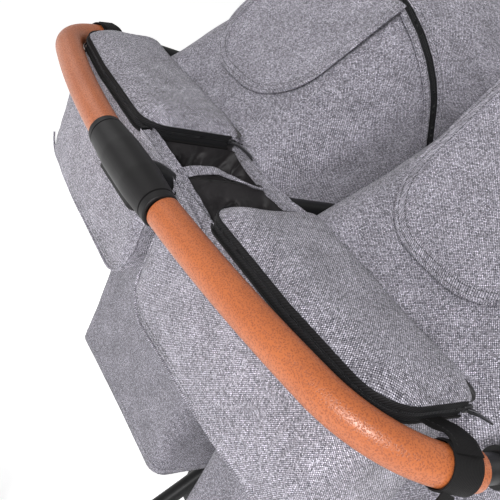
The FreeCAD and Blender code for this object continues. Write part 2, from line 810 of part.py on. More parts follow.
def slope_reach(angle):
    """Distance from the canopy pivot to its sloping rear panel, at an angle back from upright."""
    lean = math.radians(dims.hoop_lean)
    hoop = Vector(-dims.hoop_reach * math.sin(lean), dims.hoop_reach * math.cos(lean))
    base = Vector(
        dims.canopy_base_ahead - dims.pivot_ahead, dims.pivot_below - dims.canopy_base_below
    )
    along = (hoop - base).normalize()
    foot = base - along * base.dot(along)
    facing = math.degrees(math.atan2(-foot.x, foot.y))
    return foot.Length / math.cos(math.radians(angle - facing))


def hoop_corners(side, reach, corner, inset, root):
    """The arch of a canopy: two straight sides and a roof with rounded corners."""
    inner = side * (dims.canopy_inner + inset)
    outer = side * (dims.canopy_outer - inset)
    top = reach - inset
    return [(inner, root, 0), (inner, top, corner), (outer, top, corner), (outer, root, 0)]


def hoop_plane(angle):
    """A plane through the canopy's pivot line, tipped back from upright."""
    pivot = at(0, dims.pivot_ahead, dims.pivot_below)
    return Placement(pivot, Rotation(Vector(1, 0, 0), 90 - angle))


def hoop_wire(side, angle, reach, corner, inset, root):
    return wire_of(outline(hoop_corners(side, reach, corner, inset, root)), hoop_plane(angle))


HOOP_CORNER, BASE_CORNER = 112.0, 36.0


def make_canopy_rear(word, side):
    """The sloping rear panel and the sides behind the zip, a thin tent open below."""
    base = dims.canopy_base_ahead - dims.pivot_ahead
    base_angle = math.degrees(math.atan2(-base, dims.pivot_below - dims.canopy_base_below))
    steps = 7

    def tent(inset, root, first, last):
        wires = []
        for index in range(steps):
            part = index / (steps - 1)
            angle = first + (last - first) * part
            corner = HOOP_CORNER + (BASE_CORNER - HOOP_CORNER) * part - inset
            wires.append(hoop_wire(side, angle, slope_reach(angle), corner, inset, root))
        return Part.makeLoft(wires, True, True)

    outside = tent(0.0, 6.0, dims.hoop_lean, base_angle)
    inside = tent(dims.cloth, 3.0, dims.hoop_lean - 0.5, base_angle + 0.5)
    node(solid_feature(f"canopy_rear_{word}", outside.cut(inside)), f"canopy_rear_{word}")


def hoop_band(side, angle, sweep_angle, outer_inset, inner_inset, root):
    """A band of the canopy's arch, turned forward about the pivot line."""
    reach = dims.hoop_reach
    outside = Part.Face(hoop_wire(side, angle, reach, HOOP_CORNER - outer_inset, outer_inset, root))
    inside = Part.Face(
        hoop_wire(side, angle, reach, HOOP_CORNER - inner_inset, inner_inset, root - 1)
    )
    pivot = at(0, dims.pivot_ahead, dims.pivot_below)
    return outside.cut(inside).revolve(pivot, Vector(1, 0, 0), sweep_angle)


def make_canopy(word, side, zips):
    make_canopy_rear(word, side)
    forward = dims.hoop_lean + dims.front_bow_angle - 0.3
    front = hoop_band(side, dims.hoop_lean - 0.3, forward, 0.0, dims.cloth, 6.0)
    node(solid_feature(f"canopy_front_{word}", front), f"canopy_front_{word}")
    zip_root = 100.0
    tape = hoop_band(side, dims.hoop_lean - 0.4, 2.6, -dims.zip_height - 0.3, -0.3, zip_root)
    zips.append(solid_feature(f"canopy_zip_{word}", tape))
    bow = hoop_band(
        side, 3.0 - dims.front_bow_angle, 2.0, dims.cloth + 0.8, dims.cloth + 6.5, 6.0
    )
    discs = []
    pivot = dims.pivot_ahead, dims.pivot_below
    for across in (dims.canopy_inner + dims.cloth + 0.8, dims.canopy_outer - dims.cloth - 6.5):
        start = at(side * across, *pivot)
        disc = Part.makeCylinder(13, 5.7, start, Vector(side, 0, 0))
        hole = Part.makeCylinder(4.05, 5.7, start, Vector(side, 0, 0))
        discs.append((disc, hole))
    shape = bow.fuse([disc for disc, _ in discs]).cut([hole for _, hole in discs])
    node(solid_feature(f"canopy_bow_{word}", shape), f"canopy_bow_{word}")


def make_canopy_clamps():
    """Clamps that hold each canopy's pivot pins to the side and centre struts."""
    solids = []
    pivot = dims.pivot_ahead, dims.pivot_below
    near = dims.strut_bore + 0.3
    for word, side in SIDES:
        far = FRAME_SIDE - dims.strut_radius - 0.1
        spans = (
            (near, dims.canopy_inner - 1.2, dims.canopy_inner + 9),
            (far, dims.canopy_outer + 1.2, dims.canopy_outer - 9),
        )
        for index, (start, stop, tip) in enumerate(spans):
            plate = block(
                f"clamp_{word}_{index}", at(side * start, 338, 84),
                at(side * stop, dims.pivot_ahead + 16, 116),
            )
            pin = rod(f"pivot_{word}_{index}", at(side * start, *pivot), at(side * tip, *pivot), "4 mm")
            solids.append(fuse(f"canopy_clamp_{word}_{index}", [plate, pin]))
    node(group("canopy_clamps", solids), "canopy_clamps")


def make_canopy_flap(word, side):
    """The U-shaped flap that hangs over the window of the rear panel."""
    lean = math.radians(dims.hoop_lean)
    hoop = at(0, dims.pivot_ahead - dims.hoop_reach * math.sin(lean),
              dims.pivot_below - dims.hoop_reach * math.cos(lean))
    base = at(0, dims.canopy_base_ahead, dims.canopy_base_below)
    up = (hoop - base).normalize()
    turn = Rotation(Vector(-1, 0, 0), up, Vector(0, 0, 1), "XYZ")
    middle = side * (dims.canopy_inner + dims.canopy_outer) / 2
    lift = up.cross(Vector(1, 0, 0)) * 0.5
    flap = new_body(f"canopy_flap_{word}", Placement(base + Vector(middle, 0, 0) + lift, turn))
    length, half = base.distanceToPoint(hoop), 94.0
    pad(flap, f"flap_{word}_sheet", outline([
        (-half, 66, 62), (half, 66, 62), (half + 8, length - 12, 4), (-half - 8, length - 12, 4)
    ]), "Dims.cloth")
    return flap


# ---------------------------------------------------------------- organiser


def bag_plan(side, inner, outer, back, front, outer_back, corner, seam):
    """Plan of one half of the organiser, whose rear edge follows the bowed handle."""
    corners = [
        (inner, -back, seam), (inner + (outer - inner) * 0.55, -back - 5, 120),
        (outer, -outer_back, corner), (outer, -front, corner * 0.6), (inner, -front, seam),
    ]
    return outline([(side * x, y, radius) for x, y, radius in corners])


def make_organiser():
    depth, front = dims.bag_depth, dims.bag_front
    for word, side in SIDES:
        place = Placement(at(0, 0, depth), Rotation())
        bag = new_body(f"organiser_bag_{word}", place)
        pad(bag, f"bag_{word}", bag_plan(side, dims.bag_inner, dims.bag_outer, 43, front, 60, 34, 3),
            "Dims.bag_depth")
        doc.recompute()
        lift = Vector(0, 0, 4)
        hollows = [
            bag_plan(side, 71, dims.bag_outer - 4, 51, front - 4, 65, 30, 6),
            outline([(side * x, y, 12) for x, y in ((17, -48), (66, -49), (66, -147), (17, -147))]),
        ]
        for index, plan in enumerate(hollows):
            hole = pocket(bag, f"bag_{word}_hollow_{index}", plan, "Dims.bag_depth + 1")
            hole.Profile[0].AttachmentOffset = Placement(lift if index == 0 else lift * 8, Rotation())
        node(bag, f"organiser_bag_{word}")
        make_lid(word, side)
    bridge = block("divider", at(-dims.bag_inner + 0.3, 44, -14.5), at(dims.bag_inner - 0.3, 146, -11.8))
    walls = [
        block(f"divider_wall_{index}", at(one, 44, -12), at(other, 146, 0))
        for index, (one, other) in enumerate(((-12.7, -11.6), (11.6, 12.7)))
    ]
    node(fuse("organiser_divider", [bridge] + walls), "organiser_divider")
    make_zips()


def lid_plan(side, inset):
    return bag_plan(side, 68 + inset, 303 - inset, 38 + inset, dims.lid_front - inset, 56 + inset,
                    38 - inset, 22 - inset)


def make_lid(word, side):
    """A padded lid that hinges up about its front edge."""
    lid = new_body(f"organiser_lid_{word}", Placement(at(0, 0, -dims.lid_edge), Rotation()))
    base = pad(lid, f"lid_{word}", lid_plan(side, 0), "Dims.lid_thickness")
    rounded_top(lid, base, dims.lid_thickness, 8.0)
    node(lid, f"organiser_lid_{word}")


def make_zips():
    """The coil zip round each lid, a standing band on the organiser, and the zip pulls."""
    bands, pulls = [], []
    for word, side in SIDES:
        band = new_body(f"zip_band_{word}", Placement(at(0, 0, 0), Rotation()))
        pad(band, f"zip_{word}", lid_plan(side, 2), "Dims.lid_edge - 0.5")
        doc.recompute()
        hollow = pocket(band, f"zip_{word}_inside", lid_plan(side, 2 + dims.zip_wall), "Dims.lid_edge")
        hollow.Profile[0].AttachmentOffset = Placement(Vector(0, 0, -0.2), Rotation())
        bands.append(band)
        across = 302 if side < 0 else 62
        pull = block(f"zip_pull_{word}", at(side * across, 128, -4), at(side * (across + 4), 150, -8))
        pulls.append(pull)
    node(group("lid_zips", bands + pulls), "lid_zips")


# ---------------------------------------------------------------- basket


def make_basket():
    """An open basket under the seats, and the wire rim with webbing that hangs it."""
    side, back, front = dims.basket_side, dims.basket_back, dims.basket_front
    width, length, wall = 2 * side, front - back, 3.0
    basket = new_body("basket", Placement(on_ground(-side, front, dims.basket_bottom), Rotation()))
    pad(basket, "basket_block", outline([
        (0, 0, 60), (width, 0, 60), (width, length, 60), (0, length, 60)
    ]), "Dims.basket_top - Dims.basket_bottom")
    doc.recompute()
    hollow = pocket(basket, "basket_inside", outline([
        (wall, wall, 57), (width - wall, wall, 57), (width - wall, length - wall, 57),
        (wall, length - wall, 57)
    ]), "Dims.basket_top - Dims.basket_bottom")
    hollow.Profile[0].AttachmentOffset = Placement(Vector(0, 0, wall), Rotation())
    node(basket, "basket")
    level = dims.basket_top + 4.5
    spots = [(-side, back), (side, back), (side, front), (-side, front)]
    corners = [(x, dims.grip_back - ahead, 60) for x, ahead in spots]
    rim_wire = wire_of(outline(corners), Placement(Vector(0, 0, level), Rotation()))
    hangers = [sweep("basket_rim", rim_wire, "4 mm")]
    for word, way in SIDES:
        for index, ahead in enumerate((672, 720)):
            hangers.append(block(
                f"hanger_{word}_{index}", on_ground(way * (side - 3), ahead - 12, level + 4),
                on_ground(way * (side - 1), ahead + 12, dims.bed_height - 11.7),
            ))
        hangers.append(block(
            f"hanger_{word}_rear", on_ground(way * 200, back - 2.7, level + 4.1),
            on_ground(way * 224, back - 0.7, dims.grip_height - dims.hinge_below + 6),
        ))
    node(group("basket_hangers", hangers), "basket_hangers")


# ---------------------------------------------------------------- build and export


def build():
    make_handle_tube()
    make_grips()
    make_straps()
    make_hub()
    make_sockets()
    make_frame_bars()
    make_front_legs()
    make_rear_frame()
    make_brake()
    make_rear_wheels()
    make_casters()
    make_seats()
    make_seat_sides()
    make_harness()
    zips = []
    for word, side in SIDES:
        make_canopy(word, side, zips)
    node(group("canopy_zips", zips), "canopy_zips")
    node(group("canopy_flaps", [make_canopy_flap(*pair) for pair in SIDES]), "canopy_flaps")
    make_canopy_clamps()
    make_organiser()
    make_basket()
    doc.recompute()


def check_and_export():
    """Stops if any object failed, then writes each sub-part."""
    failed = [item.Name for item in doc.Objects if {"Invalid", "Error"} & set(item.State)]
    if failed:
        raise RuntimeError(f"failed objects: {failed}")
    for feature in NODES:
        shape = feature.Shape
        if shape.isNull() or not shape.isValid() or not shape.Solids:
            raise RuntimeError(f"bad shape: {feature.Label}")
        shape.exportStep(f"parts/{feature.Label}.step")
    print(len(NODES), "sub-parts")
    whole = Part.makeCompound([feature.Shape for feature in NODES]).optimalBoundingBox()
    print("box", [round(value, 1) for value in (
        whole.XMin, whole.XMax, whole.YMin, whole.YMax, whole.ZMin, whole.ZMax
    )])


build()
check_and_export()
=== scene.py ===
import math

import bpy
import bmesh
import numpy as np
from mathutils import Matrix, Vector, noise
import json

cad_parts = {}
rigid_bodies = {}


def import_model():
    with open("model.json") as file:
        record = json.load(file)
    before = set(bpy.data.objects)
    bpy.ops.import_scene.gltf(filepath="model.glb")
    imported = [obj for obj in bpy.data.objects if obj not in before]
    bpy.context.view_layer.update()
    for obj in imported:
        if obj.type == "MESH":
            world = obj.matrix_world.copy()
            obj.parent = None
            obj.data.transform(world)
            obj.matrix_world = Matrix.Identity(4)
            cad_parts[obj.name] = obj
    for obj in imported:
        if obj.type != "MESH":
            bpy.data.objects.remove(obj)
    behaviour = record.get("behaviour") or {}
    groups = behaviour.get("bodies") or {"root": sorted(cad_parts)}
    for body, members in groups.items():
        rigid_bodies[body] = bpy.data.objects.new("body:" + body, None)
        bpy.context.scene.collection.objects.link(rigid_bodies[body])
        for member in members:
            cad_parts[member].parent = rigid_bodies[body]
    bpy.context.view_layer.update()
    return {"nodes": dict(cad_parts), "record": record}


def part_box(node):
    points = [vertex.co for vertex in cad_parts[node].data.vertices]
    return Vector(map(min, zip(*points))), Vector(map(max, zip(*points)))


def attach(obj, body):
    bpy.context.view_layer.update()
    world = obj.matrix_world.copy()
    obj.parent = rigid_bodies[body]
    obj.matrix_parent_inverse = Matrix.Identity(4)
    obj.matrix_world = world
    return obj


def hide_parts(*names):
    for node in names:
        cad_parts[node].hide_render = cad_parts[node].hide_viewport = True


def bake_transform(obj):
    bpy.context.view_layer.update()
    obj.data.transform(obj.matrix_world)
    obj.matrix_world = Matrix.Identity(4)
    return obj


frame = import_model()

# The soft parts, trim and materials of a side-by-side twin stroller. Sizes and places are in
# millimetres from the middle of the handle's grip: to the side (+ is the children's left), ahead
# of it and below it. at() turns them into metres in the row's frame.

MM = 0.001
SIDES = (("left", 1), ("right", -1))
UP = Vector((0, 0, 1))
_hub_low, _hub_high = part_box("hub_upper_shell")
_low_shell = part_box("hub_lower_shell")[0]
GRIP = Vector((0, (_hub_low.y + _hub_high.y) / 2, (_low_shell.z + _hub_high.z) / 2))


def at(side, ahead, below):
    return Vector((side * MM, GRIP.y - ahead * MM, GRIP.z - below * MM))


def clear_defaults():
    for leftover in list(bpy.data.objects):
        if leftover.type in ("CAMERA", "LIGHT") or leftover.name == "Cube":
            bpy.data.objects.remove(leftover)


# ---------------------------------------------------------------- numbers and curves


def smooth_step(low, high, value):
    part = min(max((value - low) / (high - low), 0.0), 1.0)
    return part * part * (3 - 2 * part)


def wobble(point, scale, seed=0.0):
    """Smooth noise from -1 to 1 with the given size of ripple, in metres."""
    return noise.noise(Vector(point) / scale + Vector((seed, seed * 1.7, -seed)))


def as_rows(points):
    return np.array([tuple(p) for p in points], float)


def shares(count):
    """Evenly spaced numbers from 0 to 1, both ends included."""
    return [step / (count - 1) for step in range(count)]


def resample(points, count, closed=False):
    """count points evenly spaced along a polyline; columns after the third are carried along."""
    line = as_rows(points)
    if closed:
        line = np.vstack([line, line[:1]])
    steps = np.linalg.norm(np.diff(line[:, :3], axis=0), axis=1)
    reach = np.concatenate([[0], np.cumsum(steps)])
    marks = np.linspace(0, reach[-1], count, endpoint=not closed)
    return np.stack([np.interp(marks, reach, line[:, k]) for k in range(line.shape[1])], 1)


def rounded_line(corners, closed=False):
    """A polyline of (x, y, radius) corners, with an arc at each corner that has a radius."""
    spots = [Vector(c[:2]) for c in corners]
    line = []
    for index, here in enumerate(spots):
        radius = corners[index][2]
        if radius <= 0 or not closed and index in (0, len(spots) - 1):
            line.append(here)
            continue
        back = (spots[index - 1] - here).normalized()
        on = (spots[(index + 1) % len(spots)] - here).normalized()
        half = back.angle(on) / 2
        if half > math.pi / 2 - 0.01:
            line.append(here)
            continue
        start, stop = here + back * radius / math.tan(half), here + on * radius / math.tan(half)
        centre = here + (back + on).normalized() * radius / math.sin(half)
        for step in range(9):
            spoke = (start - centre).lerp(stop - centre, step / 8).normalized() * radius
            line.append(centre + spoke)
    return line


def rounded_loop(corners, count):
    """Evenly spaced points round a closed outline of (x, y, radius) corners."""
    return resample(rounded_line(corners, closed=True), count, closed=True)


def spline(points, count):
    """A smooth Catmull-Rom curve through a few points, evenly spaced."""
    spots = [Vector(p) for p in points]
    spots = [spots[0] * 2 - spots[1]] + spots + [spots[-1] * 2 - spots[-2]]
    line = []
    for a, b, c, d in zip(spots, spots[1:], spots[2:], spots[3:]):
        for step in range(16):
            t = step / 16
            line.append(0.5 * (2 * b + (c - a) * t + (2 * a - 5 * b + 4 * c - d) * t ** 2
                               + (3 * b - a - 3 * c + d) * t ** 3))
    return resample(line + [spots[-2]], count)


# ---------------------------------------------------------------- meshes


def mesh_object(name, verts, faces, corner_uvs=None, materials=(), crease=40):
    mesh = bpy.data.meshes.new(name)
    mesh.from_pydata([tuple(map(float, v)) for v in verts], [], faces)
    if corner_uvs is not None:
        layer = mesh.uv_layers.new(name="UVMap")
        layer.data.foreach_set("uv", np.array(corner_uvs, float).ravel())
    for material in materials:
        mesh.materials.append(material)
    mesh.validate()
    mesh.shade_smooth()
    mesh.set_sharp_from_angle(angle=math.radians(crease))
    piece = bpy.data.objects.new(name, mesh)
    bpy.context.scene.collection.objects.link(piece)
    return piece


def grid_object(name, points, materials, wrap=False, crease=50, flip=False, cap_ends=False,
                planar=None):
    """A surface through rows of points. Its UVs are lengths along the cloth, in metres."""
    grid = np.array([[tuple(p) for p in row] for row in points], float)
    rows, columns = grid.shape[:2]
    wide = np.concatenate([grid, grid[:, :1]], 1) if wrap else grid
    across = np.linalg.norm(np.diff(wide, axis=1), axis=2)
    u = np.concatenate([np.zeros((rows, 1)), np.cumsum(across, 1)], 1)
    u -= u[:, [wide.shape[1] // 2]]
    down = np.linalg.norm(np.diff(wide, axis=0), axis=2)
    v = np.concatenate([np.zeros((1, wide.shape[1])), np.cumsum(down, 0)], 0)
    if planar is not None:
        flat = np.concatenate([planar, planar[:, :1]], 1) if wrap else planar
        u, v = flat[..., 0], flat[..., 1]
    faces, uvs = [], []
    for i in range(rows - 1):
        for j in range(wide.shape[1] - 1):
            k = (j + 1) % columns
            face = [i * columns + j, i * columns + k, (i + 1) * columns + k, (i + 1) * columns + j]
            spots = [(i, j), (i, j + 1), (i + 1, j + 1), (i + 1, j)]
            if flip:
                face, spots = face[::-1], spots[::-1]
            faces.append(face)
            uvs += [(u[a, b], v[a, b]) for a, b in spots]
    if cap_ends and wrap:
        for row, turn in ((0, 1), (rows - 1, -1)):
            cap = [row * columns + j for j in range(columns)][::turn if not flip else -turn]
            faces.append(cap[::-1])
            uvs += [(0, 0)] * columns
    return mesh_object(name, grid.reshape(-1, 3), faces, uvs, materials, crease)


def apply_modifiers(piece):
    """Puts the result of a piece's modifiers into its own mesh."""
    bpy.context.view_layer.update()
    graph = bpy.context.evaluated_depsgraph_get()
    mesh = bpy.data.meshes.new_from_object(piece.evaluated_get(graph))
    piece.modifiers.clear()
    piece.data = mesh
    return piece


def thicken(piece, thickness, offset=-1.0):
    solid = piece.modifiers.new("Thickness", "SOLIDIFY")
    solid.thickness = thickness * MM
    solid.offset = offset
    solid.use_even_offset = False
    return apply_modifiers(piece)


def frames_along(path, ups=None, closed=False):
    """Tangents, sides and ups along a path, turning as little as they can."""
    line = as_rows(path)
    if closed:
        tangents = np.roll(line, -1, 0) - np.roll(line, 1, 0)
    else:
        tangents = np.gradient(line, axis=0)
    tangents /= np.linalg.norm(tangents, axis=1)[:, None] + 1e-12
    if ups is None:
        seed = np.array([0, 0, 1.0]) if abs(tangents[0][2]) < 0.9 else np.array([1.0, 0, 0])
        ups = [seed]
        for tangent in tangents[1:]:
            ups.append(ups[-1] - tangent * np.dot(ups[-1], tangent))
    ups = as_rows(ups)
    ups -= tangents * np.sum(ups * tangents, 1)[:, None]
    ups /= np.linalg.norm(ups, axis=1)[:, None] + 1e-12
    return line, tangents, np.cross(tangents, ups), ups


def sweep(name, path, profile, materials, ups=None, closed=False):
    """A profile of (side, up) points in millimetres, carried along a path."""
    line, _, sides, ups = frames_along(path, ups, closed)
    outline = np.array(profile, float) * MM
    rows = [line[i] + outline[:, :1] * sides[i] + outline[:, 1:] * ups[i] for i in range(len(line))]
    if closed:
        rows.append(rows[0])
        return weld(grid_object(name, rows, materials, wrap=True), 1e-6)
    return grid_object(name, rows, materials, wrap=True, cap_ends=True)


def weld(piece, gap):
    """Merges the points of a piece that are closer than a gap in metres."""
    work = bmesh.new()
    work.from_mesh(piece.data)
    bmesh.ops.remove_doubles(work, verts=work.verts, dist=gap)
    work.to_mesh(piece.data)
    work.free()
    return piece


def circle(radius):
    """Section of a cord, with eight sides."""
    turns = [2 * math.pi * k / 8 for k in range(8)]
    return [(radius * math.cos(a), radius * math.sin(a)) for a in turns]


def band(width, thick):
    """Section of webbing or tape, flat with rounded edges."""
    w, t = width / 2, thick / 2
    return [(-w, -t * 0.5), (-w + t, -t), (w - t, -t), (w, -t * 0.5),
            (w, t * 0.5), (w - t, t), (-w + t, t), (-w, t * 0.5)]


def band_up(height, thick):
    """Section of a standing tape: thin to the side, tall upwards."""
    return [(t, w) for w, t in band(height, thick)]


ROD_SPOTS = [(x, y, z) for x in (-1, -0.72, 0.72, 1) for y, z in ((-1, 0), (0, 1), (1, 0), (0, -0.6))]


def beads(name, path, materials, pitch, size, ups=None):
    """Small rounded rods along a path: stitches, or the teeth of a zip. size is along, across, up."""
    rows = as_rows(path)
    length = np.sum(np.linalg.norm(np.diff(rows, axis=0), axis=1))
    count = max(int(length / (pitch * MM)), 2)
    if ups is not None:
        rows = resample(np.concatenate([rows, as_rows(ups)], 1), count)
        ups = rows[:, 3:]
    else:
        rows = resample(rows, count)
    line, tangents, sides, ups = frames_along(rows[:, :3], ups)
    verts, faces = [], []
    along, across, up = (value * MM / 2 for value in size)
    for i in range(len(line)):
        base = len(verts)
        for x, y, z in ROD_SPOTS:
            narrow = 0.45 if abs(x) == 1 else 1.0
            verts.append(line[i] + tangents[i] * x * along + sides[i] * y * across * narrow
                         + ups[i] * z * up * narrow)
        for ring in range(3):
            for k in range(4):
                a, b = base + ring * 4 + k, base + ring * 4 + (k + 1) % 4
                faces.append((a, b, b + 4, a + 4))
        faces.append(tuple(base + k for k in (3, 2, 1, 0)))
        faces.append(tuple(base + 12 + k for k in (0, 1, 2, 3)))
    return mesh_object(name, verts, faces, materials=materials, crease=80)


def rounded_box(name, size, bevel, materials, centre, turn=None):
    """A moulded block with rounded edges. Sizes are in millimetres, its centre in metres."""
    work = bmesh.new()
    bmesh.ops.create_cube(work, size=1.0)
    bmesh.ops.scale(work, vec=Vector(size) * MM, verts=work.verts)
    bmesh.ops.bevel(work, geom=work.edges[:], offset=bevel * MM, segments=3,
                    affect="EDGES", profile=0.5)
    place = Matrix.Translation(Vector(centre)) @ (turn.to_4x4() if turn else Matrix.Identity(4))
    bmesh.ops.transform(work, matrix=place, verts=work.verts)
    mesh = bpy.data.meshes.new(name)
    work.to_mesh(mesh)
    work.free()
    for material in materials:
        mesh.materials.append(material)
    mesh.shade_smooth()
    mesh.set_sharp_from_angle(angle=math.radians(35))
    piece = bpy.data.objects.new(name, mesh)
    bpy.context.scene.collection.objects.link(piece)
    return piece


def join(name, pieces):
    """One piece made of several."""
    target = pieces[0]
    with bpy.context.temp_override(active_object=target, selected_editable_objects=pieces):
        bpy.ops.object.join()
    target.name = name
    return target


def keep(piece, body):
    """Ties a finished piece to its body."""
    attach(piece, body)
    return piece


def trim(name, path, profile, slot, ups=None, body="chassis", closed=False, material=None):
    """A strap, tape or cord along a path, on its body, in its slot's own material."""
    return keep(sweep(name, path, profile, [material or FINISH[slot]], ups, closed), body)


# ---------------------------------------------------------------- materials


class Surface:
    """A Principled material and the few node helpers that its texture is written with."""

    def __init__(self, name, colour, roughness, metallic=0.0, sheen=0.0):
        self.material = bpy.data.materials.new(name)
        self.material.use_nodes = True
        self.tree = self.material.node_tree
        self.shader = self.tree.nodes["Principled BSDF"]
        self.shader.inputs["Base Color"].default_value = (*colour, 1)
        self.shader.inputs["Roughness"].default_value = roughness
        self.shader.inputs["Metallic"].default_value = metallic
        self.shader.inputs["Sheen Weight"].default_value = sheen
        self.shader.inputs["Sheen Roughness"].default_value = 0.5
        self.material.diffuse_color = (*colour, 1)

    def node(self, kind, **inputs):
        made = self.tree.nodes.new(kind)
        for key, value in inputs.items():
            self.feed(made.inputs[key.replace("_", " ")], value)
        return made

    def feed(self, socket, value):
        if isinstance(value, bpy.types.NodeSocket):
            self.tree.links.new(value, socket)
        else:
            socket.default_value = value

    def calc(self, operation, *values):
        made = self.tree.nodes.new("ShaderNodeMath")
        made.operation = operation
        for socket, value in zip(made.inputs, values):
            self.feed(socket, value)
        return made.outputs[0]

    def fit(self, value, low, high, to_low=0.0, to_high=1.0):
        made = self.node("ShaderNodeMapRange", Value=value)
        made.inputs["From Min"].default_value = low
        made.inputs["From Max"].default_value = high
        made.inputs["To Min"].default_value = to_low
        made.inputs["To Max"].default_value = to_high
        return made.outputs[0]

    def mix(self, factor, one, other):
        made = self.tree.nodes.new("ShaderNodeMix")
        made.data_type = "RGBA"
        self.feed(made.inputs[0], factor)
        self.feed(made.inputs[6], (*one, 1) if isinstance(one, tuple) else one)
        self.feed(made.inputs[7], (*other, 1) if isinstance(other, tuple) else other)
        return made.outputs[2]

    def coordinates(self, source, scale):
        """Texture coordinates ("UV" is metres of cloth, "Object" the frame) times a scale."""
        texture = self.tree.nodes.new("ShaderNodeTexCoord")
        made = self.node("ShaderNodeMapping", Vector=texture.outputs[source])
        made.inputs["Scale"].default_value = scale if isinstance(scale, tuple) else (scale,) * 3
        return made.outputs[0]

    def floor_of(self, where):
        made = self.tree.nodes.new("ShaderNodeVectorMath")
        made.operation = "FLOOR"
        self.feed(made.inputs[0], where)
        return made.outputs[0]

    def noise(self, where, detail=2.0, roughness=0.5):
        made = self.node("ShaderNodeTexNoise", Vector=where)
        made.inputs["Scale"].default_value = 1.0
        made.inputs["Detail"].default_value = detail
        made.inputs["Roughness"].default_value = roughness
        return made.outputs["Fac"]

    def cells(self, where, feature="F1"):
        made = self.node("ShaderNodeTexVoronoi", Vector=where)
        made.feature = feature
        made.inputs["Scale"].default_value = 1.0
        return made.outputs["Distance"]

    def bump(self, height, distance, strength=1.0):
        made = self.node("ShaderNodeBump", Height=height)
        made.inputs["Distance"].default_value = distance
        made.inputs["Strength"].default_value = strength
        previous = self.shader.inputs["Normal"].links
        if previous:
            self.feed(made.inputs["Normal"], previous[0].from_socket)
        self.feed(self.shader.inputs["Normal"], made.outputs[0])

    def paint(self, socket, value):
        self.feed(self.shader.inputs[socket], value)


def tint(colour, by):
    return tuple(c * by for c in colour)


def weave(name, light, dark, pitch=1.05, melange=0.5):
    """Plain-woven melange cloth: pale warp over dark weft, each yarn flecked along its length, and painted
    shade in the valleys between the yarns.
    """
    yarn_depth = 0.3
    cloth = Surface(name, light, 0.9, sheen=0.12)
    where = cloth.coordinates("UV", 1 / (pitch * MM))
    parts = cloth.node("ShaderNodeSeparateXYZ", Vector=where)
    along = {"warp": parts.outputs[0], "weft": parts.outputs[1]}
    cell = {k: cloth.calc("FLOOR", v) for k, v in along.items()}
    bulge = {k: cloth.calc("SINE", cloth.calc("MULTIPLY", cloth.calc("FRACT", v), math.pi))
             for k, v in along.items()}
    over = cloth.calc("FLOORED_MODULO", cloth.calc("ADD", cell["warp"], cell["weft"]), 2.0)
    heights = {}
    for one, other in (("warp", "weft"), ("weft", "warp")):
        crown = cloth.calc("MULTIPLY_ADD", bulge[other], 0.5, 0.5)
        heights[one] = cloth.calc("MULTIPLY", cloth.calc("POWER", bulge[one], 0.6), crown)
    height = cloth.node("ShaderNodeMix", Factor=over)
    cloth.feed(height.inputs[2], heights["weft"])
    cloth.feed(height.inputs[3], heights["warp"])
    height = height.outputs[0]
    flecks = {}
    for one, other, seed in (("warp", "weft", 3.7), ("weft", "warp", 9.1)):
        spot = cloth.node("ShaderNodeCombineXYZ")
        cloth.feed(spot.inputs[0], cloth.calc("MULTIPLY", cell[one], seed))
        cloth.feed(spot.inputs[1], cloth.calc("MULTIPLY", along[other], 0.3))
        flecks[one] = cloth.fit(cloth.noise(spot.outputs[0], 2.5, 0.7), 0.4, 0.6)
    fleck = cloth.mix(flecks["warp"], tint(light, 1 - melange), light)
    shade = cloth.mix(flecks["weft"], dark, tuple(c + (l - c) * melange * 0.75
                                                  for c, l in zip(dark, light)))
    colour = cloth.mix(over, shade, fleck)
    # Painted shade: the colour darkens to 0.15 of itself in the valleys between the yarns.
    painted_yarn_shade = cloth.fit(height, 0.0, 0.7, 0.15, 1.0)
    cloud = cloth.fit(cloth.noise(cloth.coordinates("UV", 26.0), 3.0), 0.3, 0.7, 0.78, 1.12)
    speck = cloth.node("ShaderNodeTexWhiteNoise")
    cloth.feed(speck.inputs["Vector"], cloth.floor_of(where))
    grain = cloth.fit(speck.outputs["Value"], 0.0, 1.0, 0.38, 1.22)
    # The cloth colour is scaled by the painted yarn shade, a random mottle and a random per-cell tone.
    shade_and_mottle = cloth.calc("MULTIPLY", cloth.calc("MULTIPLY", painted_yarn_shade, cloud), grain)
    scaled = cloth.node("ShaderNodeVectorMath")
    scaled.operation = "SCALE"
    cloth.feed(scaled.inputs[0], colour)
    cloth.feed(scaled.inputs["Scale"], shade_and_mottle)
    cloth.paint("Base Color", scaled.outputs[0])
    cloth.bump(height, yarn_depth * MM, 0.8)
    fuzz = cloth.noise(cloth.coordinates("UV", 900.0), 2.0)
    cloth.bump(fuzz, 0.12 * MM, 0.5)
    crumple = cloth.noise(cloth.coordinates("UV", 34.0), 3.0, 0.55)
    cloth.bump(crumple, 2.2 * MM, 0.5)
    return cloth.material


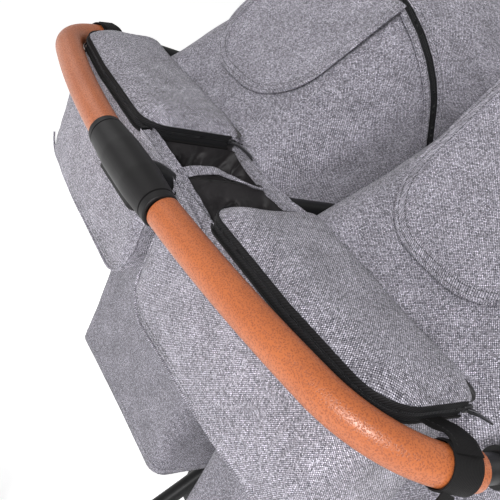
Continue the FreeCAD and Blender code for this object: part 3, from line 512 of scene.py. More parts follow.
def leather(name):
    """Cognac leather with small darker pits and a soft wax shine."""
    hide = Surface(name, (0.42, 0.13, 0.042), 0.42)
    warp = hide.noise(hide.coordinates("Object", 420.0), 3.0)
    where = hide.coordinates("Object", (820.0, 700.0, 700.0))
    shifted = hide.node("ShaderNodeVectorMath")
    shifted.operation = "MULTIPLY_ADD"
    hide.feed(shifted.inputs[0], warp)
    shifted.inputs[1].default_value = (1.6, 1.1, 1.3)
    hide.feed(shifted.inputs[2], where)
    pits = hide.fit(hide.cells(shifted.outputs[0]), 0.12, 0.58)
    patch = hide.fit(hide.noise(hide.coordinates("Object", 95.0), 4.0), 0.3, 0.7, 0.0, 0.3)
    grain = hide.calc("MAXIMUM", pits, patch)
    broad = hide.noise(hide.coordinates("Object", 14.0), 2.0)
    tan = hide.mix(hide.fit(broad, 0.3, 0.7), (0.44, 0.118, 0.034), (0.52, 0.150, 0.047))
    hide.paint("Base Color", hide.mix(grain, (0.25, 0.058, 0.018), tan))
    hide.paint("Roughness", hide.fit(grain, 0.0, 1.0, 0.55, 0.33))
    hide.bump(grain, 0.2 * MM, 0.6)
    hide.bump(hide.noise(hide.coordinates("Object", 1500.0), 2.0), 0.05 * MM, 0.4)
    hide.shader.inputs["Specular IOR Level"].default_value = 0.6
    return hide.material


def plastic(name, colour, roughness, grain=0.03):
    """Moulded plastic or coated metal with a fine grain and slight handling marks."""
    part = Surface(name, colour, roughness)
    fine = part.noise(part.coordinates("Object", 2200.0), 2.0)
    smear = part.noise(part.coordinates("Object", 18.0), 4.0, 0.6)
    part.paint("Roughness", part.fit(smear, 0.3, 0.75, roughness - 0.07, roughness + 0.1))
    part.paint("Base Color", part.mix(part.fit(smear, 0.35, 0.7), tint(colour, 0.8),
                                      tint(colour, 1.25)))
    part.bump(fine, grain * MM, 0.6)
    part.shader.inputs["Specular IOR Level"].default_value = 0.3
    return part.material


def steel(name):
    part = Surface(name, (0.46, 0.46, 0.48), 0.34, metallic=1.0)
    streak = part.noise(part.coordinates("Object", (30.0, 900.0, 900.0)), 3.0)
    part.paint("Roughness", part.fit(streak, 0.3, 0.7, 0.25, 0.48))
    part.bump(streak, 0.02 * MM, 0.5)
    return part.material


def webbing(name, colour):
    """Ribbed webbing: ribs along the strap, crossed by fine picks; its colour is painted shade in the
    grooves and painted highlight on the rib crests.
    """
    rib_width = 1.25
    strap = Surface(name, colour, 0.72)
    parts = strap.node("ShaderNodeSeparateXYZ", Vector=strap.coordinates("UV", 1 / (rib_width * MM)))
    rib = strap.calc("ABSOLUTE", strap.calc("SINE", strap.calc("MULTIPLY", parts.outputs[0], math.pi)))
    pick = strap.calc("ABSOLUTE", strap.calc("SINE", strap.calc("MULTIPLY", parts.outputs[1], 5.0)))
    height = strap.calc("MULTIPLY", strap.calc("POWER", rib, 0.5), strap.fit(pick, 0, 1, 0.75, 1.0))
    # Painted shade and highlight: darker in the grooves between ribs, lighter on their crests.
    strap.paint("Base Color", strap.mix(height, tint(colour, 0.35), tint(colour, 1.7)))
    strap.bump(height, 0.3 * MM, 0.8)
    strap.shader.inputs["Specular IOR Level"].default_value = 0.15
    return strap.material


def satin(name):
    """Thin brown-black lining cloth."""
    lining = Surface(name, (0.0085, 0.0065, 0.0078), 0.5, sheen=0.12)
    fine = lining.noise(lining.coordinates("UV", (2600.0, 700.0, 1.0)), 1.0)
    crush = lining.noise(lining.coordinates("UV", 42.0), 2.5, 0.5)
    lining.paint("Roughness", lining.fit(crush, 0.3, 0.7, 0.55, 0.75))
    lining.bump(crush, 6 * MM, 0.8)
    lining.bump(fine, 0.04 * MM, 0.4)
    return lining.material


def netting(name):
    """Black basket cloth: raised strands over gaps painted darker as painted shade; the gaps are not open.
    """
    net = Surface(name, (0.03, 0.03, 0.032), 0.7)
    hole = net.cells(net.coordinates("UV", 420.0), "DISTANCE_TO_EDGE")
    strand = net.fit(hole, 0.04, 0.16, 1.0, 0.0)
    # Painted shade: the gaps between strands are near-black.
    net.paint("Base Color", net.mix(strand, (0.003, 0.003, 0.003), (0.05, 0.05, 0.055)))
    net.bump(strand, 0.5 * MM, 0.9)
    return net.material


def rubber(name):
    tyre = Surface(name, (0.022, 0.022, 0.023), 0.78)
    dust = tyre.noise(tyre.coordinates("Object", 30.0), 5.0, 0.65)
    tyre.paint("Base Color", tyre.mix(tyre.fit(dust, 0.4, 0.75), (0.018, 0.018, 0.019),
                                      (0.045, 0.044, 0.042)))
    tyre.bump(tyre.noise(tyre.coordinates("Object", 700.0), 3.0), 0.12 * MM, 0.5)
    return tyre.material


def tape(name):
    """Zip tape: a fine black twill, painted darker in its grooves as painted shade and lighter on its
    ridges as painted highlight.
    """
    cloth = Surface(name, (0.012, 0.012, 0.013), 0.66)
    parts = cloth.node("ShaderNodeSeparateXYZ", Vector=cloth.coordinates("UV", 2200.0))
    twill = cloth.calc("SINE", cloth.calc("ADD", parts.outputs[0], parts.outputs[1]))
    # Painted shade in the twill's grooves and painted highlight on its ridges.
    cloth.paint("Base Color", cloth.mix(cloth.fit(twill, -1, 1), (0.006, 0.006, 0.0065),
                                        (0.02, 0.02, 0.022)))
    cloth.bump(twill, 0.08 * MM, 0.7)
    cloth.shader.inputs["Specular IOR Level"].default_value = 0.2
    return cloth.material


PALE, CHARCOAL = (0.91, 0.87, 0.99), (0.03, 0.029, 0.055)
FINISH = {
    "leather": leather("leather"),
    "hub_plastic": plastic("hub_plastic", (0.009, 0.0082, 0.0088), 0.5, 0.035),
    "frame_black": plastic("frame_black", (0.008, 0.008, 0.0085), 0.42, 0.05),
    "axle_steel": steel("axle_steel"),
    "fabric_grey": weave("fabric_grey", PALE, CHARCOAL),
    "fabric_dark": weave("fabric_dark", tint(PALE, 0.78), CHARCOAL),
    "pad_fabric": weave("pad_fabric", tint(PALE, 0.9), CHARCOAL, pitch=0.9),
    "webbing": webbing("webbing", (0.009, 0.0085, 0.0088)),
    "zip_black": tape("zip_tape"),
    "black_plastic": plastic("black_plastic", (0.016, 0.016, 0.0165), 0.5, 0.03),
    "tyre": rubber("tyre_rubber"),
    "rim": plastic("rim", (0.02, 0.02, 0.022), 0.38, 0.02),
    "basket_mesh": netting("basket_mesh"),
}
LINING = satin("satin_lining")
TEETH = plastic("zip_teeth", (0.022, 0.022, 0.024), 0.3, 0.01)
THREAD = weave("stitch_thread", (0.62, 0.62, 0.66), (0.4, 0.4, 0.44), pitch=0.3, melange=0.2)
DARK_THREAD = weave("dark_thread", (0.05, 0.05, 0.055), (0.02, 0.02, 0.022), pitch=0.3)


def dress_cad_nodes():
    for part in frame["record"]["subparts"]:
        cad = frame["nodes"][part["node"]]
        cad.data.materials.clear()
        cad.data.materials.append(FINISH[part["material_slot"]])
        cad.data.shade_smooth()
        cad.data.set_sharp_from_angle(angle=math.radians(32))


# ---------------------------------------------------------------- cloth helpers

def cloth(name, points, materials, thickness, **extra):
    """A sheet of cloth through rows of points."""
    return thicken(grid_object(name, points, materials, **extra), thickness, offset=0.0)


def lift_rows(rows, amount, scale, seed):
    """Ripples a grid of points along its own normals, by an amount in millimetres."""
    grid = np.array(rows, float)
    along = np.gradient(grid, axis=0)
    across = np.gradient(grid, axis=1)
    normal = np.cross(along, across)
    normal /= np.linalg.norm(normal, axis=2)[..., None] + 1e-12
    share = np.array([[wobble(p, scale * MM, seed) for p in row] for row in grid])
    return grid + normal * (share * amount * MM)[..., None]


def stitches(name, path, ups=None, material=None, pitch=3.6, size=(2.6, 0.75, 0.6)):
    keep(beads(name, path, [material or THREAD], pitch, size, ups=ups), "chassis")


def handle_dress():
    """The webbing straps that tie the organiser to the handle, with tongue, tail and stitching."""
    for word, side in SIDES:
        corner_radius, centre_side, centre_ahead, strap_radius = 103, 238.66, 131.04, 16.6
        turn = math.radians(73)
        drop = math.tan(math.radians(5))

        def bar(angle):
            ahead = centre_ahead - corner_radius * math.cos(angle)
            return Vector((centre_side + corner_radius * math.sin(angle), ahead, ahead * drop))

        first, last = bar(turn - 0.125), bar(turn + 0.125)
        middle, along = bar(turn), (last - first).normalized()
        out = (middle - Vector((centre_side, centre_ahead, centre_ahead * drop))).normalized()
        up = along.cross(out).normalized()
        if up.z > 0:
            up = -up
        ring = [middle + (out * math.cos(a) + up * math.sin(a)) * strap_radius
                for a in (2 * math.pi * k / 40 for k in range(40))]
        path = [at(side * p.x, p.y, p.z) for p in ring]
        centre = at(side * middle.x, middle.y, middle.z)
        ups = [(p - centre).normalized() for p in path]
        strap = trim(f"handle_strap_{word}", path, band(25, 1.6), "webbing", ups, closed=True)
        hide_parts("handle_straps")

        def spot(out_by, up_by, along_by):
            p = middle + out * out_by + up * up_by + along * along_by
            return at(side * p.x, p.y, p.z)

        tongue = spline([spot(6, 17.5, 0), spot(-8, 18.5, 0), spot(-19, 15, 0), spot(-32, 9, -4),
                         spot(-46, 6, -8)], 18)
        trim(f"strap_tongue_{word}", tongue, band(22, 1.8), "webbing", [UP] * 18)
        for index, shift in enumerate((-8.5, 8.5)):
            side_way = np.array((at(side * along.x * 1000, along.y * 1000, 0) - at(0, 0, 0)).normalized())
            row = [Vector(p + side_way * shift * MM + np.array((0, 0, 1.1 * MM))) for p in tongue[2:14]]
            stitches(f"strap_stitches_{word}_{index}", row, [UP] * len(row), DARK_THREAD)
        tail = spline([spot(13, -11, -2), spot(17, -18, -4), spot(19, -30, -7), spot(15, -44, -10)], 12)
        trim(f"strap_tail_{word}", tail, band(20, 1.6), "webbing",
             [(Vector(p) - centre).normalized() for p in tail])


def grip_seams():
    """The stitched seam under each leather grip."""
    for word, side in SIDES:
        points = []
        start, length, bend, bar_radius, below = 74, 190, 262, 1133.0, 15.0
        for step in range(60):
            across = start + length * step / 59
            ahead = bar_radius - math.sqrt(bar_radius ** 2 - min(across, bend) ** 2)
            points.append(at(side * across, ahead + 4, below))
        stitches(f"grip_seam_{word}", points, None, DARK_THREAD, 4.4, (3.2, 0.9, 0.7))


# ---------------------------------------------------------------- organiser

BAG_IN, BAG_OUT, BAG_REAR, BAG_REAR_OUT, BAG_FRONT = 13.0, 298.0, 43.0, 60.0, 152.0
BAG_DEPTH, BAG_CORNER = 138.0, 38.0
LID_IN, LID_OUT, LID_FRONT, LID_EDGE, LID_TOP = 68.0, 303.0, 158.0, 11.5, 24.5
ZIP_SPOTS = 150


def bag_rear(across):
    """How far ahead the organiser's rear wall is; it follows the bow of the handle."""
    share = (across - BAG_IN) / (BAG_OUT - BAG_IN)
    return BAG_REAR + 5 * smooth_step(0, 0.55, share) + 12 * smooth_step(0.45, 1.0, share)


def bag_bottom(across):
    """Depth of the pouch under the rim; its lower corners are round when seen from behind."""
    gap = min(across - BAG_IN, BAG_OUT - across)
    if gap >= BAG_CORNER:
        return BAG_DEPTH
    reach = max(BAG_CORNER - gap, 0.0)
    return BAG_DEPTH - BAG_CORNER + math.sqrt(max(BAG_CORNER ** 2 - reach ** 2, 0.0))


def bag_loop(count):
    """Plan of one pouch, as (side, ahead) points, from its inner front corner round the rear."""
    corners = [(BAG_IN, BAG_FRONT, 4), (BAG_IN, BAG_REAR, 5), (BAG_IN + 157, BAG_REAR + 5, 120),
               (BAG_OUT, BAG_REAR_OUT, 34), (BAG_OUT, BAG_FRONT, 20)]
    return rounded_loop(corners, count)


def organiser_bag(word, side):
    """The sewn outside of one pouch: walls that bulge, a sagging bottom and a piped lower edge."""
    loop, rows = bag_loop(150), []
    wall_steps, floor_steps = 24, 8
    middle = (BAG_REAR + BAG_FRONT) / 2 + 4
    for share in shares(wall_steps + 1):
        row = []
        for x, y in loop:
            depth = bag_bottom(min(max(x, BAG_IN), BAG_OUT)) + 1.0
            bulge = math.sin(math.pi * share) ** 0.8
            inward = y > 140
            push = (1.0 if inward else 4.2) * bulge * (0.4 if x < 20 or x > 292 else 1.0)
            open_side = smooth_step(26, 15, x) * smooth_step(44, 54, y) * smooth_step(153, 143, y)
            below = 30.0 * open_side + (depth - 30.0 * open_side) * share
            away = -1 if y < middle else 1
            row.append(at(side * x, y + away * push - (3.0 * share if away < 0 else 0), below))
        rows.append(row)
    for share in shares(floor_steps + 1)[1:]:
        row = []
        for x, y in loop:
            depth = bag_bottom(min(max(x, BAG_IN), BAG_OUT)) + 1.0
            away = -1 if y < middle else 1
            edge = y - (3.0 if away < 0 else 0)
            sag = 5.0 * math.sin(math.pi / 2 * share) * smooth_step(0, 60, min(x - BAG_IN, BAG_OUT - x))
            row.append(at(side * x, edge + (middle - edge) * share, depth + sag))
        rows.append(row)
    rows = lift_rows(rows, 1.5, 42, 3.0 + side)
    rows = lift_rows(rows, 0.7, 15, 8.0 + side)
    name = f"organiser_bag_cloth_{word}"
    bag = cloth(name, rows, [FINISH["fabric_grey"]], 1.8, wrap=True, flip=side < 0, crease=60)
    keep(bag, "chassis")
    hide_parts(f"organiser_bag_{word}")
    path = []
    for across in np.linspace(BAG_IN, BAG_OUT - 6, 90):
        depth = bag_bottom(across) + 1.0
        path.append(at(side * across, bag_rear(across) - 4.4, depth))
    up_inner = [at(side * (BAG_IN - 0.4), BAG_REAR - 2.2, d) for d in np.linspace(3, BAG_DEPTH - 40, 30)]
    trim(f"bag_piping_{word}", resample(up_inner + path, 160), circle(1.35), "fabric_grey")
    for index, inset in enumerate((5.5, 9.0)):
        row = [at(side * across, bag_rear(across) - 5.6, bag_bottom(across) - inset)
               for across in np.linspace(BAG_IN + 12, BAG_OUT - 34, 80)]
        stitches(f"bag_stitches_{word}_{index}", row, [Vector((0, 1, 0))] * 80)


def ring_rows(outline, rings, centre_of, height_of):
    """Rings from an outline towards the middle line of a shape, for a domed top."""
    rows = []
    for ring in range(rings):
        share = (ring / (rings - 1)) ** 1.25
        row = []
        for x, y in outline:
            cx, cy = centre_of(x)
            px, py = x + (cx - x) * share, y + (cy - y) * share
            row.append((px, py, height_of(px, py, math.hypot(px - x, py - y))))
        rows.append(row)
    return rows


def lid_loop(count, inset=0.0):
    inner, outer, front = LID_IN + inset, LID_OUT - inset, LID_FRONT - inset
    corners = [(inner, front, 16 - inset), (inner, 38 + inset, 24 - inset),
               (inner + (outer - inner) * 0.55, 43 + inset, 120), (outer, 56 + inset, 40 - inset),
               (outer, front, 18 - inset)]
    return rounded_loop(corners, count)


def lid_cloth(word, side):
    """The padded lid, domed and drawn down along its edge, and the flat satin under it."""
    outline = lid_loop(260, 0.6)

    def centre_of(x):
        return min(max(x, 128.0), 245.0), 98.0

    def height_of(x, y, away):
        rise = LID_TOP - LID_EDGE
        edge = min(away / 34.0, 1.0)
        dome = rise * (1 - (1 - edge) ** 2.3)
        crown = 2.6 * math.sin(math.pi * min(max((x - LID_IN) / (LID_OUT - LID_IN), 0), 1)) * edge
        hollow = 2.0 * math.exp(-((x - 196 - 0.35 * (y - 98)) / 30) ** 2) * edge
        ripple = 1.1 * wobble((x * MM, y * MM, side), 0.045, 4.0) + 0.35 * wobble(
            (x * MM, y * MM, side), 0.014, 9.0)
        front = 4.5 * smooth_step(LID_FRONT - 22, LID_FRONT, y)
        return LID_EDGE - 1.0 + dome + (crown - hollow + ripple * edge) - front * (1 - edge * 0.3)

    rows = ring_rows(outline, 44, centre_of, height_of)
    every = [[(x, y, h - 1.6) for x, y, h in rows[0]]] + rows
    points = [[at(side * x, y, -h) for x, y, h in row] for row in every]
    uvs = np.array([[(x * MM, y * MM) for x, y, _ in row] for row in every])
    lid = grid_object(f"lid_cloth_{word}", points, [FINISH["fabric_grey"]], wrap=True,
                      flip=side > 0, crease=75, planar=uvs)
    keep(lid, f"organiser_lid_{word}")
    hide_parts(f"organiser_lid_{word}")
    below = [[at(side * x, y, -(LID_EDGE - 0.6 - 1.5 * min(ring / 12, 1.0))) for x, y, _ in row]
             for ring, row in enumerate(rows[::3])]
    lining = grid_object(f"lid_lining_{word}", below, [LINING], wrap=True, flip=side < 0, crease=75)
    keep(lining, f"organiser_lid_{word}")


def zip_path(side, inset, below):
    """Round a lid from its inner front corner past the rear to its outer front corner."""
    loop = lid_loop(600, inset)
    start = min(range(600), key=lambda k: abs(loop[k][0] - (LID_IN + inset)) + abs(loop[k][1] - 138))
    ring = [loop[(start + k) % 600] for k in range(600)]
    if ring[10][1] > ring[0][1]:
        ring = [ring[0]] + ring[:0:-1]
    kept = []
    for x, y in ring:
        if x > 250 and y > LID_FRONT - 20 and kept:
            break
        kept.append((x, y))
    return resample([at(side * x, y, below) for x, y in kept], ZIP_SPOTS)


def lid_zip(word, side):
    """Two tapes, two rows of coil teeth, a slider and its pull."""
    up = [UP] * ZIP_SPOTS
    lower = trim(f"zip_tape_lower_{word}", zip_path(side, 1.4, -1.6), band_up(7.4, 1.0), "zip_black", up)
    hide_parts("lid_zips")
    trim(f"zip_tape_upper_{word}", zip_path(side, 0.4, -9.6), band_up(5.4, 1.3), "zip_black", up,
         f"organiser_lid_{word}")
    for part, below, body in (("lower", -5.4, "chassis"), ("upper", -6.8, f"organiser_lid_{word}")):
        teeth = beads(f"zip_teeth_{part}_{word}", zip_path(side, -0.1, below), [TEETH], 1.45,
                      (0.95, 2.0, 1.2), ups=up)
        keep(teeth, body)
    trim(f"zip_binding_{word}", zip_path(side, -0.3, 1.6), band_up(2.4, 1.5), "webbing", up)
    ends = zip_path(side, -0.1, -6.1)
    spot, before = (ends[-1], ends[-8]) if side < 0 else (ends[0], ends[7])
    run = Vector(spot - before).normalized()
    turn = Matrix((run, UP.cross(run), UP)).transposed()
    slider = rounded_box(f"zip_slider_{word}", (9, 4.4, 6.4), 1.3, [TEETH],
                         Vector(spot) + run * 2 * MM, turn)
    keep(slider, "chassis")
    if side < 0:
        hang = [(-3, 0, 1), (-7, -5, 1.5), (-9, -14, -2), (-9.5, -25, -7)]
    else:
        hang = [(-3, 0, 1), (-8, -6, 1), (-15, -14, -2), (-22, -20, -6)]
    line = spline([Vector(spot) + Vector(by) * MM for by in hang], 16)
    trim(f"zip_pull_{word}", line, band(6.2, 1.7), "zip_black", [Vector((0.1, 0.1, 1))] * 16,
         material=TEETH)
    trim(f"zip_pull_loop_{word}", line[:5], circle(1.0), "axle_steel")


def cup_lining(word, side):
    """Gathered satin inside the open middle pocket."""
    loop = rounded_loop([(14.5, 45.5, 7), (67.0, 46.5, 9), (67.0, 150.0, 9), (14.5, 150.0, 7)], 190)
    middle = Vector((41.0, 96.0))
    rows = []
    for share in shares(40):
        below = 3 + 96 * min(share / 0.72, 1.0) ** 0.9
        inward = 0.0 if share < 0.72 else (share - 0.72) / 0.28
        row = []
        for index, (x, y) in enumerate(loop):
            turn = 2 * math.pi * index / len(loop)
            fold = math.sin(7 * turn + 4.2 * share + side) + 0.6 * math.sin(13 * turn - 6 * share)
            depth = 4.2 * min(share / 0.12, 1.0) * (1 - inward * 0.6)
            here = (x * MM, y * MM, below * MM)
            crush = (19.0 * wobble(here, 0.023, 5.0 + side) + 8.0 * wobble(here, 0.011, 8.0)
                     ) * min(share / 0.12, 1)
            toward = (middle - Vector((x, y))).normalized()
            spot = Vector((x, y)) + toward * max((fold + 2.0) * depth * 0.5 + crush, -1.0)
            spot = spot.lerp(middle, inward)
            spot.x -= 13.0 * smooth_step(28, 14.5, x) * (1 - smooth_step(0, 16, below - 3))
            lump = (5.0 * wobble((x * MM, y * MM, 0.2), 0.02, 7.0) * inward
                    + 9.0 * wobble(here, 0.018, 2.0) * min(share / 0.15, 1) * (1 - inward))
            row.append(at(side * spot.x, spot.y, below + lump))
        rows.append(row)
    lining = grid_object(f"cup_lining_{word}", rows, [LINING], wrap=True, flip=side > 0, crease=80)
    keep(lining, "chassis")
    line = [Vector(p) for p in rows[9]]
    stitches(f"cup_stitches_{word}", line + line[:1], None, DARK_THREAD, 3.4,
             (2.4, 0.7, 0.6))


def pouch_lining(word, side):
    """Smooth satin inside the pouch under each lid."""
    pouch = rounded_loop([(69.0, 46.5, 7), (294.0, 62.0, 32), (294.0, 149.0, 12), (69.0, 149.0, 7)], 120)
    centre = Vector((182.0, 100.0))
    rows = []
    for share in shares(26):
        inward = 0.0 if share < 0.7 else (share - 0.7) / 0.3
        below = -2 + 128 * min(share / 0.7, 1.0)
        row = []
        for x, y in pouch:
            spot = Vector((x, y)).lerp(Vector((min(max(x, 120), 250), 100)), inward)
            spot += (centre - spot).normalized() * (2.5 + 2.0 * wobble(
                (x * MM, y * MM, below * MM), 0.03, 2.0)) * min(share * 6, 1)
            row.append(at(side * spot.x, spot.y, below - 3 * inward))
        rows.append(row)
    inside = grid_object(f"pouch_lining_{word}", rows, [LINING], wrap=True, flip=side > 0, crease=80)
    keep(inside, "chassis")


def ribbon(name, path, width, thick, ups, ripple):
    """A folded strip of melange cloth along a few points."""
    count = 70
    line = spline(path, count)
    ups = resample([(k, 0, 0, *u) for k, u in enumerate(ups)], count)[:, 3:]
    middle = np.array([p + np.array(u) * MM * ripple * wobble(p, 0.012, 3.0) for p, u in zip(line, ups)])
    return trim(name, middle, band(width, thick), "fabric_grey", ups)


def organiser_middle():
    """Rims of the open middle pocket, and the twisted divider between its two halves."""
    rear = [at(74, 46, -1), at(50, 46.5, 0), at(22, 46, 0.5), at(0, 45.5, 2), at(-20, 46, 5),
            at(-46, 47, 9), at(-70, 48, 13)]
    ribbon("rear_rim", rear, 4.2, 13, [(0, -1, 0.25)] * 7, ripple=0.8)
    front = [at(73, 153, 0), at(48, 151.5, 2), at(18, 150, 3.5), at(-8, 150, 3.5), at(-36, 151.5, 1),
             at(-73, 153.5, -4)]
    ribbon("front_rim", front, 5.0, 12, [(0, -1, 0.1)] * 6, ripple=1.2)
    strap = [at(0, 47, 1), at(4, 66, -3), at(6, 86, -4), at(4, 106, -1), at(-2, 130, 4), at(-3, 149, 5)]
    turns = [(-0.75, 0.1, 0.6), (-0.45, 0, 0.9), (-0.15, 0, 1), (0.15, 0, 1), (0.5, 0, 0.8), (0.6, 0, 0.7)]
    middle = ribbon("divider_strip", strap, 10, 2.2, turns, ripple=1.0)
    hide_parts("organiser_divider")
    wall = []
    for share in shares(14):
        wall.append([at(p[0] + 2.5 * math.sin(3 * k + 4 * share), p[1], p[2] + 86 * share)
                     for k, p in enumerate([(0, 49, 3), (4, 66, 1), (7, 86, 0), (4, 106, 4),
                                            (-3, 128, 11), (-3, 144, 13)])])
    rows = [resample(row, 50) for row in wall]
    rows = lift_rows(rows, 3.0, 24, 6.0)
    sides = cloth("divider_lining", rows, [LINING], 1.2)
    keep(sides, "chassis")


# ---------------------------------------------------------------- canopies

PIVOT_AHEAD, PIVOT_BELOW, HOOP_REACH, HOOP_LEAN, BOW_TURN = 465.0, 100.0, 337.0, 30.0, 55.0
CANOPY_IN, CANOPY_OUT, BASE_AHEAD, BASE_BELOW = 32.0, 324.0, 157.0, 22.0
SEAT_MIDDLE = (CANOPY_IN + CANOPY_OUT) / 2
HOOP_TOP = (PIVOT_AHEAD - HOOP_REACH * math.sin(math.radians(HOOP_LEAN)),
            PIVOT_BELOW - HOOP_REACH * math.cos(math.radians(HOOP_LEAN)))
BASE_TURN = math.degrees(math.atan2(PIVOT_AHEAD - BASE_AHEAD, PIVOT_BELOW - BASE_BELOW))


def slope_reach(turn):
    """Reach of the straight rear slope from the pivot, at a turn back from upright."""
    ax, ay = PIVOT_AHEAD - BASE_AHEAD, PIVOT_BELOW - BASE_BELOW
    bx, by = PIVOT_AHEAD - HOOP_TOP[0], PIVOT_BELOW - HOOP_TOP[1]
    dx, dy = math.sin(math.radians(turn)), math.cos(math.radians(turn))
    return (ax * by - ay * bx) / (dx * (by - ay) - dy * (bx - ax))


def arch_plan(reach, corner, count):
    """An arch: up one side, over a rounded roof and down the other, as (side, reach) points."""
    root = 8.0
    line = rounded_line([(CANOPY_IN, root, 0), (CANOPY_IN, reach, corner), (CANOPY_OUT, reach, corner),
                         (CANOPY_OUT, root, 0)])
    return resample(line, count)


def canopy_point(side, across, reach, turn):
    angle = math.radians(turn)
    return at(side * across, PIVOT_AHEAD - reach * math.sin(angle), PIVOT_BELOW - reach * math.cos(angle))


def canopy_cloth(word, side):
    """One sheet from the rear hem over the hoop to the front bow, slack between its bows."""
    rows, share_rows = [], []
    turns = [(BASE_TURN + 2.2, 292.0, 36.0), (BASE_TURN + 1.1, 308.0, 36.0)]
    for share in shares(28):
        turn = BASE_TURN + (HOOP_LEAN - BASE_TURN) * share
        corner = 36 + 76 * share
        turns.append((turn, slope_reach(turn) - 3.0 * math.sin(math.pi * share), corner))
    for share in shares(27)[1:]:
        dip = 5.0 * math.sin(math.pi * share)
        turns.append((HOOP_LEAN - (HOOP_LEAN + BOW_TURN) * share, HOOP_REACH - dip, 112.0))
    for turn, reach, corner in turns:
        rows.append([canopy_point(side, x, r, turn) for x, r in arch_plan(reach, corner, 150)])
        share_rows.append(min(max((HOOP_LEAN - turn) / (HOOP_LEAN + BOW_TURN - 2.0), 0.0), 1.0))
    rows = lift_rows(rows, 3.2, 95, 1.0 + side * 2)
    rows = lift_rows(rows, 1.3, 34, 5.0 + side)
    name = f"canopy_cloth_{word}"
    sheet = grid_object(name, rows, [FINISH["fabric_grey"]], flip=side > 0, crease=80)
    weights = np.repeat(np.array(share_rows), 150)
    holder = sheet.data.attributes.new("follow", "FLOAT", "POINT")
    holder.data.foreach_set("value", weights.astype(np.float32))
    thicken(sheet, 1.6, offset=0.0)
    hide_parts(f"canopy_rear_{word}", f"canopy_front_{word}")
    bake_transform(sheet)
    turned = np.zeros(len(sheet.data.vertices), np.float32)
    sheet.data.attributes["follow"].data.foreach_get("value", turned)
    sheet.data.attributes.remove(sheet.data.attributes["follow"])


def canopy_zip(word, side):
    """The zip over the hoop between two bound, stitched edges; its pull; the front bow's hem."""
    plan = [p for p in arch_plan(HOOP_REACH + 1.6, 113.6, 240) if p[1] > 100]
    out = []
    for index in range(len(plan)):
        before, after = plan[max(index - 1, 0)], plan[min(index + 1, len(plan) - 1)]
        run = Vector(after - before).normalized()
        out.append((-run.y, run.x))

    def row(lift, shift):
        line, ups = [], []
        for (x, r), (nx, nr) in zip(plan, out):
            turn = HOOP_LEAN + math.degrees(shift / HOOP_REACH) * HOOP_REACH / max(r, 120)
            base = canopy_point(side, x + nx * lift, r + nr * lift, turn)
            tip = canopy_point(side, x + nx * (lift + 10), r + nr * (lift + 10), turn)
            line.append(base)
            ups.append((tip - base).normalized())
        return line, ups

    line, ups = row(0.6, 0.0)
    tape_piece = trim(f"canopy_zip_{word}", line, band(13, 0.9), "zip_black", ups)
    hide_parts("canopy_zips")
    for index, shift in enumerate((-1.0, 1.0)):
        line, ups = row(1.6, shift)
        keep(beads(f"canopy_teeth_{word}_{index}", line, [TEETH], 1.5, (1.0, 1.9, 1.2), ups=ups),
             "chassis")
    for index, shift in enumerate((-9.0, 9.0)):
        line, ups = row(1.0, shift)
        trim(f"canopy_binding_{word}_{index}", line, band(8.5, 1.9), "fabric_grey", ups)
        for k, step in enumerate((-1.0, 1.0)):
            line, ups = row(2.0, shift + step * 2.6)
            stitches(f"canopy_stitches_{word}_{index}_{k}", line, ups)
    line, ups = row(3.0, 0.0)
    spot, up = Vector(line[-12]), Vector(ups[-12])
    run = (spot - Vector(line[-14])).normalized()
    turn = Matrix((run, up.cross(run), up)).transposed()
    slider = rounded_box(f"canopy_slider_{word}", (10, 7, 3.4), 1.2, [TEETH], spot, turn)
    keep(slider, "chassis")
    tab = [spot, spot + Vector((0, 0, -9)) * MM, spot + Vector((side * 1.0, 0, -24)) * MM]
    trim(f"canopy_pull_{word}", spline(tab, 10), band(6, 1.5), "zip_black",
         [Vector((side, 0, 0.05))] * 10, material=TEETH)
    bow_line = arch_plan(HOOP_REACH - 1.0, 111.0, 200)
    hem = [canopy_point(side, x, r, -BOW_TURN + 0.4) for x, r in bow_line]
    trim(f"canopy_hem_{word}", hem, circle(2.6), "webbing", body=f"canopy_bow_{word}")


def slope_point(side, a, b, lift):
    """A point on the rear slope: a to the side of its middle, b up from its lower hem."""
    run = Vector((HOOP_TOP[0] - BASE_AHEAD, BASE_BELOW - HOOP_TOP[1])).normalized()
    out = Vector((-run.y, run.x))
    ahead = BASE_AHEAD + run.x * b + out.x * lift
    below = BASE_BELOW - run.y * b - out.y * lift
    return at(side * SEAT_MIDDLE + a, ahead, below)


